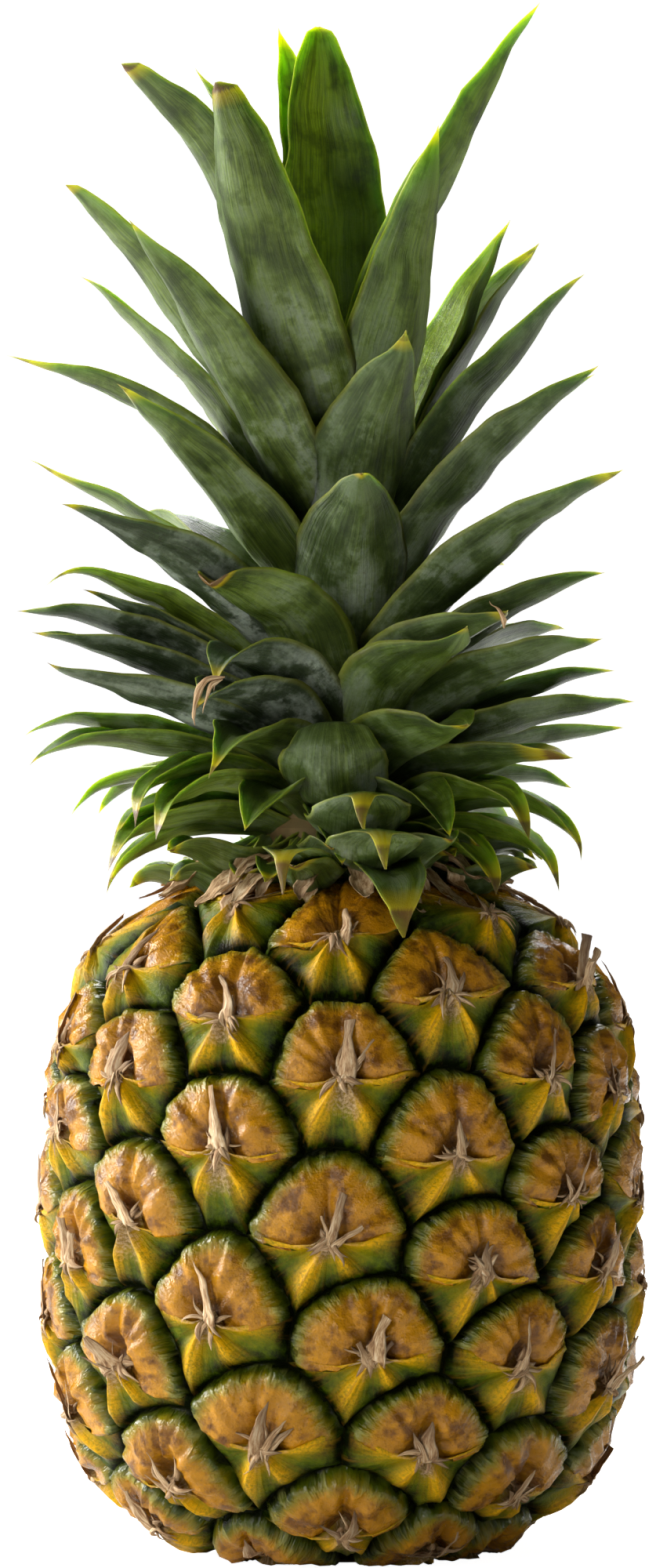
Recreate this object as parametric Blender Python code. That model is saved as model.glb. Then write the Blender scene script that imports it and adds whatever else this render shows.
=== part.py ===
"""A pineapple as picked: the fruit stands on its base and carries its leafy crown.

Metres, +Z up. The origin is the middle of the base, on the surface that it stands on.
Azimuth 0 faces -Y and azimuth 90 faces +X. "Eye" is the grower's word for one fruitlet.
"""

import math
import random

import bmesh
import bpy
import numpy as np
from mathutils import Vector

MM = 0.001

# Fruit: a barrel, flat at the foot and at the neck
FRUIT_RADIUS = 58.2 * MM
WIDEST_AT = 63 * MM
BARREL_TOP = 136 * MM
FOOT_RADIUS = 24 * MM
NECK_RADIUS = 20 * MM
SEAT_RADIUS = 17 * MM
FOOT_POWER, FOOT_ROUND = 3.0, 0.633
NECK_POWER, NECK_ROUND = 4.0, 0.476
OUTLINE_STEPS = 400

# Eyes: one spiral, whose neighbours line up in 5, 8 and 13 rows
EYE_AREA = 580 * MM * MM
EYE_TURN = 137.68
FIRST_EYE_AZIMUTH = -165.7
SPIRAL_START = 3.6
SPIRAL_LEAN = 8.2 * MM
LEAN_FROM = 51.5
EYE_RANGE = range(-9, 96)
EDGE_MARGIN = 6 * MM
LOOSE_TURN, LOOSE_RISE = 2.0, 1.2 * MM
EDGE_CUTS = 2

# How far the eyes in view grew from their place in the spiral: degrees and millimetres
EYE_DRIFT = {
    9: (7, -4), 12: (-3, -6), 14: (-3, 0), 17: (2, 0), 19: (-2, 3), 20: (-4, -1), 22: (0, -4),
    25: (0, 1), 27: (0, 3), 30: (1, 0), 33: (1, 2), 35: (1, 0), 38: (1, 0), 40: (-4, 2), 43: (3, 2),
    46: (1, -2), 48: (-7, -2), 51: (6, 3), 53: (-1, 5), 54: (-4, 2), 56: (-8, -1), 59: (6, 2),
    61: (-1, 5), 64: (-6, -2), 66: (6, -1), 67: (4, 4), 69: (2, 2), 72: (-5, -3), 74: (3, 1),
    77: (3, 2), 79: (4, -9), 80: (-5, -4), 82: (3, -2), 4: (4, -6),
}

# Relief of one eye: a share of the way out from its heart, with the skin's height there
PAD_RINGS = ((1.0, -3.2 * MM), (0.84, -0.5 * MM), (0.45, 0.0), (0.0, -2.4 * MM))
BRACT_RINGS = ((1.0, -3.2 * MM), (0.84, -1.2 * MM), (0.45, 0.5 * MM), (0.0, 2.4 * MM))
LIP_OVERHANG = 0.9 * MM
TIP_LENGTH = 9 * MM
TIP_STANDOFF = (1.2 * MM, 2.6 * MM)
TIP_END = 4 * MM
RAISED_TIPS = {27: 5.5 * MM, 40: 3.5 * MM, 48: 3 * MM, 67: 5.5 * MM, 46: 4 * MM, 20: 5 * MM, 33: 3.5 * MM}
EDGE_GROOVE = -1.0 * MM

# Foot: a flat ring round the cut stalk
FOOT_FLAT = 22 * MM
STALK_RADIUS = 12 * MM
STALK_HOLE = 14 * MM
STALK_DEPTH = 7 * MM
STALK_LIFT = 0.0
CLEARANCE = 0.3 * MM

# Crown: leaves round a short stem
CROWN_FOOT = BARREL_TOP
STEM_HEIGHT = 74 * MM
STEM_RADIUS = 16.5 * MM
STEM_TIP_RADIUS = 4 * MM
STEM_SIDES = 14
ROOT_SHARE = 0.42
ROOT_SINK = 4 * MM
ROOT_LIFT = 5 * MM
LONG_STEPS, SHORT_STEPS = 5, 4
LONG_LEAF = 40 * MM
LEAF_THICK = (0.13, 0.05)
LEAST_THICK = 0.7 * MM
CHANNEL_DEPTH = 0.3
WIDEST_SHARE, ROOT_WIDTH = 0.38, 0.75

# Leaves in view: azimuth, reach from the axis, height of the tip, arch, width, bluntness (degrees, mm)
LEAVES_IN_VIEW = (
    # pointing at the viewer, lowest first
    (0, 38, 137, 30, 15, 1.7), (-26, 43, 143, 36, 15, 1.7), (27, 45, 142, 36, 15, 1.7),
    (14, 50, 123.5, 32, 14, 1.7), (-14, 48, 131, 26, 12, 1.7), (9, 52, 138, 34, 16, 1.7),
    (5, 50, 143.5, 40, 18, 2.0), (-3, 36, 165, 36, 21, 2.6), (-35, 47, 156, 36, 18, 1.7),
    (29, 50, 162, 14, 22, 2.0), (-40, 46, 168, 32, 18, 2.0), (-36, 46, 176, 30, 21, 2.0),
    (42, 48, 184, 20, 22, 2.0), (36, 43, 178, 24, 23, 2.0), (-37, 43, 190.5, 28, 24, 2.4),
    (6, 42, 211, 30, 23, 2.1), (19, 41, 237, 24, 22, 2.4), (38, 30, 281, -10, 21, 2.4),
    (-50, 54, 262, 4, 21, 2.4), (-55, 54, 230, 8, 20, 2.2), (-50, 70, 206, 10, 20, 1.9),
    (-42, 37, 287, -6, 24, 3.2),
    # left side, top to bottom
    (-62, 51, 292, 18, 20, 2.6), (-125, 37, 298, 14, 12, 2.0), (-70, 57, 270, 6, 16, 2.8),
    (-95, 53, 254, 12, 15, 2.0), (-80, 68, 237, 25, 16, 1.7), (-90, 63, 217, 11, 12, 1.7),
    (-75, 60, 197, 11, 14, 1.7), (-70, 54, 190, 10, 10, 2.0), (-74, 66, 187, 14, 15, 2.0),
    (-68, 66, 182, 8, 15, 2.0), (-62, 65, 176, -2, 17, 1.7), (-80, 64, 164, 12, 13, 2.0),
    (-72, 65, 159, 15, 14, 2.0), (-85, 56, 149, 22, 11, 1.7), (-55, 53, 146, 40, 13, 1.7),
    (-48, 51, 144, 34, 14, 1.7), (-66, 51, 142, 26, 12, 1.7), (-62, 54, 137, 26, 13, 1.7),
    (-74, 50, 132, 28, 12, 1.7),
    # right side, top to bottom
    (66, 43, 306, 9, 18, 1.8), (150, 14, 268, 4, 16, 2.0), (112, 37, 266, -2, 19, 2.6),
    (75, 50, 253, 8, 17, 2.0), (100, 52, 235, 10, 15, 2.0), (62, 57, 234, 10, 18, 2.0),
    (60, 62.5, 213, 9, 19, 2.0), (65, 57, 194, 12, 17, 2.0), (60, 59, 180.5, 10, 18, 2.0),
    (80, 55, 175, 9, 14, 2.0), (75, 60, 168.5, 9, 15, 2.0), (85, 56, 163, 8, 13, 2.0),
    (55, 55, 157, 10, 17, 2.0), (100, 47, 152, 14, 12, 2.0), (52, 49, 143, 34, 14, 1.7),
    (70, 53, 138.5, 36, 12, 1.7), (65, 49, 132.5, 30, 12, 1.7), (48, 42, 131.5, 24, 13, 1.7),
    (120, 46, 191, 10, 14, 2.0),
    # behind, top
    (192, 25, 306, 4, 20, 3.0), (-153, 28, 307, 2, 16, 2.0),
)
HIDDEN_LEAVES = 24
HIDDEN_FROM, HIDDEN_SPREAD, HIDDEN_TURN = 114.0, 132.0, 0.618
HIDDEN_TOP, HIDDEN_LOW, HIDDEN_CROWDING = 262, 139, 0.8
HIDDEN_REACH, HIDDEN_ARCH, HIDDEN_WIDTH = (44, 58), (6, 30), (21, 13)

# Dry scales that end the crown at the fruit's shoulder, all round
DRY_SCALES = 11
DRY_REACH, DRY_TIP, DRY_ARCH, DRY_WIDTH = 38, 132.5, 18, 14

SKIN_COLOUR = (0.42, 0.30, 0.05, 1.0)
LEAF_COLOUR = (0.10, 0.16, 0.07, 1.0)
STALK_COLOUR = (0.52, 0.40, 0.24, 1.0)


def barrel_outline():
    """Samples up the skin's outline: radius, height, outward normal, arc, area below and map height."""
    share = np.linspace(0, 1, OUTLINE_STEPS)
    low = np.cos(share * math.pi / 2)
    low_r = FOOT_RADIUS + (FRUIT_RADIUS - FOOT_RADIUS) * (1 - low**FOOT_POWER) ** FOOT_ROUND
    neck_share = (1 - (NECK_RADIUS / FRUIT_RADIUS) ** (1 / NECK_ROUND)) ** (1 / NECK_POWER)
    high = np.sin(share[1:] * math.asin(neck_share))
    high_r = FRUIT_RADIUS * (1 - high**NECK_POWER) ** NECK_ROUND
    r = np.concatenate([low_r, high_r])
    z = np.concatenate([WIDEST_AT * (1 - low), WIDEST_AT + (BARREL_TOP - WIDEST_AT) * high])
    steps = np.hypot(np.diff(r), np.diff(z))
    middle = (r[1:] + r[:-1]) / 2
    arc = np.concatenate([[0], np.cumsum(steps)])
    along_r, along_z = np.gradient(r, arc), np.gradient(z, arc)
    length = np.hypot(along_r, along_z)
    return {
        "r": r,
        "z": z,
        "out_r": along_z / length,
        "out_z": -along_r / length,
        "arc": arc,
        "area": np.concatenate([[0], np.cumsum(2 * math.pi * middle * steps)]),
        "map": np.concatenate([[0], np.cumsum(steps / middle)]),
    }


OUTLINE = barrel_outline()


def read(column, value, by="map"):
    return float(np.interp(value, OUTLINE[by], OUTLINE[column]))


def skin_point(azimuth, map_height, lift):
    """A point on the skin, lifted along its normal."""
    r = read("r", map_height) + lift * read("out_r", map_height)
    z = read("z", map_height) + lift * read("out_z", map_height)
    return Vector((r * math.sin(azimuth), -r * math.cos(azimuth), z))


def eye_places():
    """Azimuth and map height of each eye's heart, by its number up the spiral."""
    rng = random.Random(8)
    places = {}
    for k in EYE_RANGE:
        azimuth = FIRST_EYE_AZIMUTH + EYE_TURN * k
        arc = read("arc", max(0.0, (k + SPIRAL_START) * EYE_AREA), by="area")
        girth = read("r", arc, by="arc") / FRUIT_RADIUS
        arc += SPIRAL_LEAN * girth * math.sin(math.radians(azimuth - LEAN_FROM))
        loose = (rng.uniform(-LOOSE_TURN, LOOSE_TURN), rng.uniform(-LOOSE_RISE, LOOSE_RISE))
        if k in EYE_DRIFT:
            loose = (EYE_DRIFT[k][0], EYE_DRIFT[k][1] * MM)
        arc += loose[1]
        if EDGE_MARGIN < arc < OUTLINE["arc"][-1] - EDGE_MARGIN:
            turned = math.radians(azimuth + loose[0])
            places[k] = (turned % (2 * math.pi), read("map", arc, by="arc"))
    return places


def keep_nearer(corners, dx, dy):
    """Cuts a polygon to the part nearer to the origin than to (dx, dy)."""
    half = (dx * dx + dy * dy) / 2
    kept = []
    for (ax, ay), (bx, by) in zip(corners, corners[1:] + corners[:1]):
        a, b = ax * dx + ay * dy - half, bx * dx + by * dy - half
        if a <= 0:
            kept.append((ax, ay))
        if (a < 0) != (b < 0) and a != b:
            t = a / (a - b)
            kept.append((ax + (bx - ax) * t, ay + (by - ay) * t))
    return kept


def cell_of(place, places):
    """Corners of an eye's cell, round its heart, counterclockwise from outside."""
    azimuth, height = place
    low, high = OUTLINE["map"][0] - height, OUTLINE["map"][-1] - height
    corners = [(-1.5, low), (1.5, low), (1.5, high), (-1.5, high)]
    for other in places:
        dx = (other[0] - azimuth + math.pi) % (2 * math.pi) - math.pi
        dy = other[1] - height
        if 1e-6 < abs(dx) + abs(dy) < 3:
            corners = keep_nearer(corners, dx, dy)
    return corners


def cut_edges(corners, first, last):
    """The cell's outline from one corner to another, each edge cut in equal lengths."""
    count = len(corners)
    points = []
    k = first
    while k != last:
        (ax, ay), (bx, by) = corners[k], corners[(k + 1) % count]
        points += [(ax + (bx - ax) * c / EDGE_CUTS, ay + (by - ay) * c / EDGE_CUTS) for c in range(EDGE_CUTS)]
        k = (k + 1) % count
    return points + [corners[last]]


def eye_half(skin, chain, rings, place, lip_rise, at_edge):
    """Adds half an eye as spokes from its outline to its heart. Returns its two end spokes."""
    columns = []
    for n, (x, y) in enumerate(chain):
        end = n in (0, len(chain) - 1)
        column = []
        for share, lift in rings[:-1]:
            outline = share == 1.0
            rise = 0.0 if outline or not end else lip_rise * (1 - abs(share - 0.6))
            level = EDGE_GROOVE if outline and at_edge(y) else lift
            point = skin_point(place[0] + x * share, place[1] + y * share + rise, level)
            column.append(skin.verts.new(point))
        columns.append(column)
    for left, right in zip(columns, columns[1:]):
        for k in range(len(rings) - 2):
            skin.faces.new((left[k], right[k], right[k + 1], left[k + 1]))
    return columns


def add_eye(skin, number, place, places, rng):
    """One eye: a pad above, and below it a bract with two arms and a dry tip over the pad."""
    corners = cell_of(place, places)
    scale = read("r", place[1])
    floor, ceiling = OUTLINE["map"][0] - place[1], OUTLINE["map"][-1] - place[1]

    def at_edge(y):
        return y < floor + 1e-6 or y > ceiling - 1e-6

    right = max(range(len(corners)), key=lambda k: corners[k][0] + 0.15 * corners[k][1])
    left = min(range(len(corners)), key=lambda k: corners[k][0] - 0.15 * corners[k][1])
    upper = cut_edges(corners, right, left)
    lower = cut_edges(corners, left, right)
    pad = eye_half(skin, upper, PAD_RINGS, place, 0.0, at_edge)
    bract = eye_half(skin, lower, BRACT_RINGS, place, LIP_OVERHANG / scale, at_edge)

    length = min(TIP_LENGTH, ceiling * scale - TIP_END)
    sideways = rng.uniform(-1.5, 1.5) * MM
    standoff = RAISED_TIPS.get(number, rng.uniform(*TIP_STANDOFF))
    tip = skin.verts.new(skin_point(place[0] + sideways / scale, place[1] + length / scale, standoff))
    cup = skin.verts.new(skin_point(place[0], place[1] + 1.5 * MM / scale, PAD_RINGS[-1][1]))
    for a, b in zip(pad, pad[1:]):
        skin.faces.new((a[-1], b[-1], cup))
    for a, b in zip(bract, bract[1:]):
        skin.faces.new((a[-1], b[-1], tip))
    # the lip's wall, from the bract's edge down to the pad
    for low, high, turned in ((pad[0], bract[-1], False), (pad[-1], bract[0], True)):
        low, high = [*low, cup], [*high, tip]
        for k in range(len(low) - 1):
            ring = (high[k], low[k], low[k + 1], high[k + 1])
            skin.faces.new(ring[::-1] if turned else ring)


def close_foot(skin):
    """Joins the skin's lower edge to a flat ring, and sinks a hole for the stalk in it."""
    edges = [e for e in skin.edges if e.is_boundary and e.verts[0].co.z < WIDEST_AT]
    rings = ((FOOT_FLAT, 0.0), (STALK_HOLE, 0.0), (STALK_HOLE, STALK_DEPTH))
    stack = {}
    for vert in {v for e in edges for v in e.verts}:
        flat = Vector((vert.co.x, vert.co.y, 0)).normalized()
        stack[vert] = [vert] + [skin.verts.new(flat * r + Vector((0, 0, z))) for r, z in rings]
    middle = skin.verts.new((0, 0, STALK_DEPTH))
    for edge in edges:
        a, b = loop_order(edge)
        for k in range(len(rings)):
            skin.faces.new((stack[a][k], stack[b][k], stack[b][k + 1], stack[a][k + 1]))
        skin.faces.new((stack[a][-1], stack[b][-1], middle))


def close_neck(skin):
    """Caps the skin's upper edge with the flat seat of the crown."""
    edges = [e for e in skin.edges if e.is_boundary and e.verts[0].co.z > WIDEST_AT]
    seat = Vector((0, 0, BARREL_TOP - CLEARANCE))
    inner = {}
    for vert in {v for e in edges for v in e.verts}:
        inner[vert] = skin.verts.new(Vector((vert.co.x, vert.co.y, 0)).normalized() * SEAT_RADIUS + seat)
    middle = skin.verts.new(seat)
    for edge in edges:
        a, b = loop_order(edge)
        skin.faces.new((a, b, inner[b], inner[a]))
        skin.faces.new((inner[a], inner[b], middle))


def loop_order(edge):
    """The edge's ends in the order that a new face on its open side takes them."""
    loop = edge.link_loops[0]
    return loop.link_loop_next.vert, loop.vert


def make_fruit():
    skin = bmesh.new()
    places = eye_places()
    rng = random.Random(22)
    for number, place in places.items():
        add_eye(skin, number, place, list(places.values()), rng)
    bmesh.ops.remove_doubles(skin, verts=skin.verts, dist=0.02 * MM)
    for vert in skin.verts:
        vert.co.z = max(vert.co.z, CLEARANCE)
    close_foot(skin)
    close_neck(skin)
    bmesh.ops.triangulate(skin, faces=skin.faces)
    return finish_object("fruit", skin, "pineapple skin", SKIN_COLOUR)


def make_stalk():
    """The cut end of the stalk, in its hollow under the fruit."""
    stalk = bmesh.new()
    depth = STALK_DEPTH - CLEARANCE - STALK_LIFT
    bmesh.ops.create_cone(
        stalk, cap_ends=True, segments=20, radius1=STALK_RADIUS * 0.94, radius2=STALK_RADIUS, depth=depth
    )
    bmesh.ops.translate(stalk, verts=stalk.verts, vec=(0, 0, STALK_LIFT + depth / 2))
    return finish_object("cut_stalk", stalk, "dry stalk", STALK_COLOUR)


def stem_radius(height):
    share = min(1.0, max(0.0, (height - CROWN_FOOT) / STEM_HEIGHT))
    return STEM_RADIUS + (STEM_TIP_RADIUS - STEM_RADIUS) * share**1.3


def leaf_line(azimuth, reach, tip_height, arch):
    """Points and directions along a leaf's middle, from its root to its tip."""
    root_z = CROWN_FOOT + ROOT_LIFT + ROOT_SHARE * max(0.0, tip_height - CROWN_FOOT)
    out = Vector((math.sin(math.radians(azimuth)), -math.cos(math.radians(azimuth)), 0))
    root = out * (stem_radius(root_z) - ROOT_SINK) + Vector((0, 0, root_z))
    tip = out * reach + Vector((0, 0, tip_height))
    chord = tip - root
    rise = math.atan2(chord.z, chord.xy.length * (1 if chord.dot(out) > 0 else -1)) + math.radians(arch)
    reach_of_bend = chord.length * (0.5 + max(0, arch) / 200)
    bend = root + (out * math.cos(rise) + Vector((0, 0, math.sin(rise)))) * reach_of_bend
    side = Vector((math.cos(math.radians(azimuth)), math.sin(math.radians(azimuth)), 0))
    line = []
    steps = LONG_STEPS if chord.length > LONG_LEAF and arch > 20 else SHORT_STEPS
    for n in range(steps + 1):
        t = n / steps
        point = root * (1 - t) ** 2 + bend * 2 * t * (1 - t) + tip * t * t
        along = ((bend - root) * (1 - t) + (tip - bend) * t).normalized()
        line.append((t, point, along.cross(side).normalized()))
    return line, side


def blade_width(t, blunt):
    """Share of the full width at t along the blade: a narrower root and a pointed arch at the tip."""
    if t < WIDEST_SHARE:
        return ROOT_WIDTH + (1 - ROOT_WIDTH) * math.sin(math.pi / 2 * t / WIDEST_SHARE)
    return 1 - ((t - WIDEST_SHARE) / (1 - WIDEST_SHARE)) ** blunt


def add_leaf(name, azimuth, reach, tip_height, arch, width, blunt):
    """A channelled blade: thick along its middle, thin at its edges and pointed."""
    line, side = leaf_line(azimuth, reach * MM, tip_height * MM, arch)
    blade = bmesh.new()
    rows = []
    for t, point, inward in line[:-1]:
        half = width * MM / 2 * blade_width(t, blunt)
        sunk = 2 * half * CHANNEL_DEPTH
        thick = max(LEAST_THICK, width * MM * (LEAF_THICK[0] + (LEAF_THICK[1] - LEAF_THICK[0]) * t))
        inner = point - inward * sunk * 0.5
        edge = inner + inward * sunk
        corners = (edge - side * half, inner, edge + side * half, inner - inward * thick)
        rows.append([blade.verts.new(c) for c in corners])
    tip = blade.verts.new(line[-1][1])
    for low, high in zip(rows, rows[1:]):
        for k in range(4):
            blade.faces.new((low[k], low[(k + 1) % 4], high[(k + 1) % 4], high[k]))
    for k in range(4):
        blade.faces.new((rows[-1][k], rows[-1][(k + 1) % 4], tip))
    blade.faces.new(rows[0][::-1])
    bmesh.ops.recalc_face_normals(blade, faces=blade.faces)
    bmesh.ops.triangulate(blade, faces=blade.faces)
    return finish_object(name, blade, "crown leaf", LEAF_COLOUR)


def hidden_leaves():
    """The leaves behind, placed by the crown's own spiral from the top down."""
    leaves = []
    for k in range(HIDDEN_LEAVES):
        share = k / (HIDDEN_LEAVES - 1)
        azimuth = HIDDEN_FROM + HIDDEN_SPREAD * (k * HIDDEN_TURN % 1)
        reach, arch, width = (
            a + (b - a) * share for a, b in (HIDDEN_REACH, HIDDEN_ARCH, HIDDEN_WIDTH)
        )
        height = HIDDEN_TOP + (HIDDEN_LOW - HIDDEN_TOP) * share**HIDDEN_CROWDING
        leaves.append((azimuth, reach, height, arch, width, 2.0))
    return leaves


def dry_scales():
    """The lowest, dry scales, lying out over the fruit's shoulder."""
    rng = random.Random(5)
    scales = []
    for k in range(DRY_SCALES):
        azimuth = (k + rng.uniform(-0.25, 0.25)) * 360 / DRY_SCALES
        reach, tip = DRY_REACH + rng.uniform(-3, 3), DRY_TIP + rng.uniform(-1, 1.5)
        scales.append((azimuth, reach, tip, DRY_ARCH, DRY_WIDTH, 2.4))
    return scales


def make_crown():
    """The stem with every leaf joined to it in one solid."""
    stem = bmesh.new()
    levels = 5
    rings = []
    for n in range(levels + 1):
        z = CROWN_FOOT + STEM_HEIGHT * n / levels
        turn = [2 * math.pi * k / STEM_SIDES for k in range(STEM_SIDES)]
        r = stem_radius(z)
        rings.append([stem.verts.new((r * math.sin(a), -r * math.cos(a), z)) for a in turn])
    for low, high in zip(rings, rings[1:]):
        for k in range(STEM_SIDES):
            j = (k + 1) % STEM_SIDES
            stem.faces.new((low[k], low[j], high[j], high[k]))
    stem.faces.new(rings[0][::-1])
    stem.faces.new(rings[-1])
    bmesh.ops.recalc_face_normals(stem, faces=stem.faces)
    bmesh.ops.triangulate(stem, faces=stem.faces)
    crown = finish_object("crown", stem, "crown leaf", LEAF_COLOUR)

    blades = bpy.data.collections.new("crown blades")
    bpy.context.scene.collection.children.link(blades)
    for n, leaf in enumerate([*LEAVES_IN_VIEW, *hidden_leaves(), *dry_scales()]):
        blade = add_leaf(f"leaf_{n:02d}", *leaf)
        bpy.context.scene.collection.objects.unlink(blade)
        blades.objects.link(blade)
    join = crown.modifiers.new("join leaves", "BOOLEAN")
    join.operation = "UNION"
    join.operand_type = "COLLECTION"
    join.collection = blades
    join.solver = "MANIFOLD"
    joined = bpy.data.meshes.new_from_object(
        crown.evaluated_get(bpy.context.evaluated_depsgraph_get())
    )
    crown.modifiers.clear()
    crown.data = joined
    for blade in list(blades.objects):
        bpy.data.objects.remove(blade)
    bpy.data.collections.remove(blades)
    fill_pockets(crown.data)
    return crown


def fill_pockets(mesh):
    """Removes the inner skins that crossing leaves close off between them."""
    solid = bmesh.new()
    solid.from_mesh(mesh)
    left = set(solid.faces)
    inner = []
    while left:
        island = [left.pop()]
        for face in island:
            near = {other for edge in face.edges for other in edge.link_faces} & left
            left -= near
            island += near
        volume = sum(f.calc_center_median().dot(f.normal) * f.calc_area() for f in island)
        if volume < 0:
            inner += island
    bmesh.ops.delete(solid, geom=inner, context="FACES")
    bmesh.ops.triangulate(solid, faces=solid.faces)
    solid.to_mesh(mesh)
    solid.free()


def finish_object(name, shape, finish, colour):
    mesh = bpy.data.meshes.new(name)
    shape.to_mesh(mesh)
    shape.free()
    obj = bpy.data.objects.new(name, mesh)
    bpy.context.scene.collection.objects.link(obj)
    material = bpy.data.materials.get(finish) or bpy.data.materials.new(finish)
    material.use_nodes = True
    shader = material.node_tree.nodes["Principled BSDF"]
    shader.inputs["Base Color"].default_value = colour
    shader.inputs["Roughness"].default_value = 0.5
    mesh.materials.append(material)
    return obj


def main():
    for obj in list(bpy.data.objects):
        bpy.data.objects.remove(obj)
    make_fruit()
    make_stalk()
    make_crown()


main()
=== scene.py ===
"""The looks of a pineapple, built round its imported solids.

Metres, +Z up. Azimuth 0 faces -Y and azimuth 90 faces +X. "Eye" is the grower's word for one fruitlet:
a fleshy pad, with a pointed bract below it that folds its dry tip up over the pad.
"""

import math
import random

import bmesh
import bpy
import numpy as np
from mathutils import Matrix, Vector


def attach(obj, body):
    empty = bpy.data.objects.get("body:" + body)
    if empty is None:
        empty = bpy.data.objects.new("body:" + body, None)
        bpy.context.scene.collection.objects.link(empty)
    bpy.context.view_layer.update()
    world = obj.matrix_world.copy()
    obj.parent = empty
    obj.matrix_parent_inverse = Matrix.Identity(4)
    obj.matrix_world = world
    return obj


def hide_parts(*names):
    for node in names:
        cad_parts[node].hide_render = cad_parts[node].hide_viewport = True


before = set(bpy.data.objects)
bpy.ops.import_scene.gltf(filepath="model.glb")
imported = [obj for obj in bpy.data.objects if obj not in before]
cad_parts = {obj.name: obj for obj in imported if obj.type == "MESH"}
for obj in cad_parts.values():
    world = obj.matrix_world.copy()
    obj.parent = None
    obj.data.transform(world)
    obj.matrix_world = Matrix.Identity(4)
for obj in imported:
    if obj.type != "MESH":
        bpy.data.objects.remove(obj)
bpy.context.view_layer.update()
MM = 0.001

# The camera is level, in front of the middle of the crown and fruit
LENS_LENGTH = 138.24
CAMERA_PLACE = (-0.00273, -1.20, 0.1523)
lens = bpy.data.cameras.new("camera")
lens.lens = LENS_LENGTH
camera = bpy.data.objects.new("camera", lens)
camera.location = CAMERA_PLACE
camera.rotation_euler = (math.radians(90), 0, 0)
bpy.context.scene.collection.objects.link(camera)
bpy.context.scene.camera = camera
bpy.context.scene.view_settings.view_transform = "Standard"

# The fruit has the same barrel and the same spiral of eyes as the solids
FRUIT_RADIUS = 58.2 * MM
WIDEST_AT = 63 * MM
BARREL_TOP = 136 * MM
FOOT_RADIUS = 24 * MM
NECK_RADIUS = 20 * MM
SEAT_RADIUS = 17 * MM
FOOT_POWER, FOOT_ROUND = 3.0, 0.633
NECK_POWER, NECK_ROUND = 4.0, 0.476
OUTLINE_STEPS = 400
EYE_AREA = 580 * MM * MM
EYE_TURN = 137.68
FIRST_EYE_AZIMUTH = -165.7
SPIRAL_START = 3.6
SPIRAL_LEAN = 8.2 * MM
LEAN_FROM = 51.5
EYE_RANGE = range(-9, 96)
EDGE_MARGIN = 6 * MM
LOOSE_TURN, LOOSE_RISE = 2.0, 1.2 * MM
EYE_DRIFT = {
    9: (7, -4), 12: (-3, -6), 14: (-3, 0), 17: (2, 0), 19: (-2, 3), 20: (-4, -1), 22: (0, -4),
    25: (0, 1), 27: (0, 3), 30: (1, 0), 33: (1, 2), 35: (1, 0), 38: (1, 0), 40: (-4, 2), 43: (3, 2),
    46: (1, -2), 48: (-7, -2), 51: (6, 3), 53: (-1, 5), 54: (-4, 2), 56: (-8, -1), 59: (6, 2),
    61: (-1, 5), 64: (-6, -2), 66: (6, -1), 67: (4, 4), 69: (2, 2), 72: (-5, -3), 74: (3, 1),
    77: (3, 2), 79: (4, -9), 80: (-5, -4), 82: (3, -2), 4: (4, -6),
}
# Depths and heights on the skin are in millimetres
GROOVE = -3.2
EDGE_GROOVE = -1.0
SPOKE_SPACING = 0.8
EDGE_SWELL = 0.115
WELD_REACH = 0.02 * MM
SLIVER = 0.01 * MM
MM_PER_RADIAN = 12.0
# how far apart two neighbouring eyes lie in the noise that patterns them
NOISE_STEP = 31.7
RIM_FOLDS = ((4, 0.026), (9, 0.020), (17, 0.016), (23, 0.012))
DOME_HEIGHT = 1.3
LOBE_HEIGHT = 1.0
FOLD_HEIGHT = 0.34
CUP_DEPTH = 2.9
CUP_RADIUS = 3.1
PAD_LUMPS = 15
RING_SHARES = (1.0, 0.98, 0.955, 0.92, 0.86, 0.74, 0.58, 0.40, 0.2)
FOOT_FLAT = 22 * MM
STALK_HOLE = 14 * MM
STALK_DEPTH = 7 * MM
CLEARANCE = 0.3 * MM
TIP_FLOOR = 2.5 * MM
THREADS_PER_EYE = 11
RAISED_TIPS = {27: 7.0, 40: 4.5, 48: 4.0, 67: 6.5, 46: 4.5, 20: 6.0, 33: 4.5}

# The crown has the same leaves as the solids
CROWN_FOOT = BARREL_TOP
STEM_HEIGHT = 74 * MM
STEM_RADIUS = 16.5 * MM
STEM_TIP_RADIUS = 4 * MM
ROOT_SHARE = 0.42
ROOT_SINK = 4 * MM
ROOT_LIFT = 5 * MM
WIDEST_SHARE, ROOT_WIDTH = 0.38, 0.75
LEAF_STEPS = 30
LEAF_SHARES = 1 - (1 - np.linspace(0, 1, LEAF_STEPS)) ** 1.25

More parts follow.
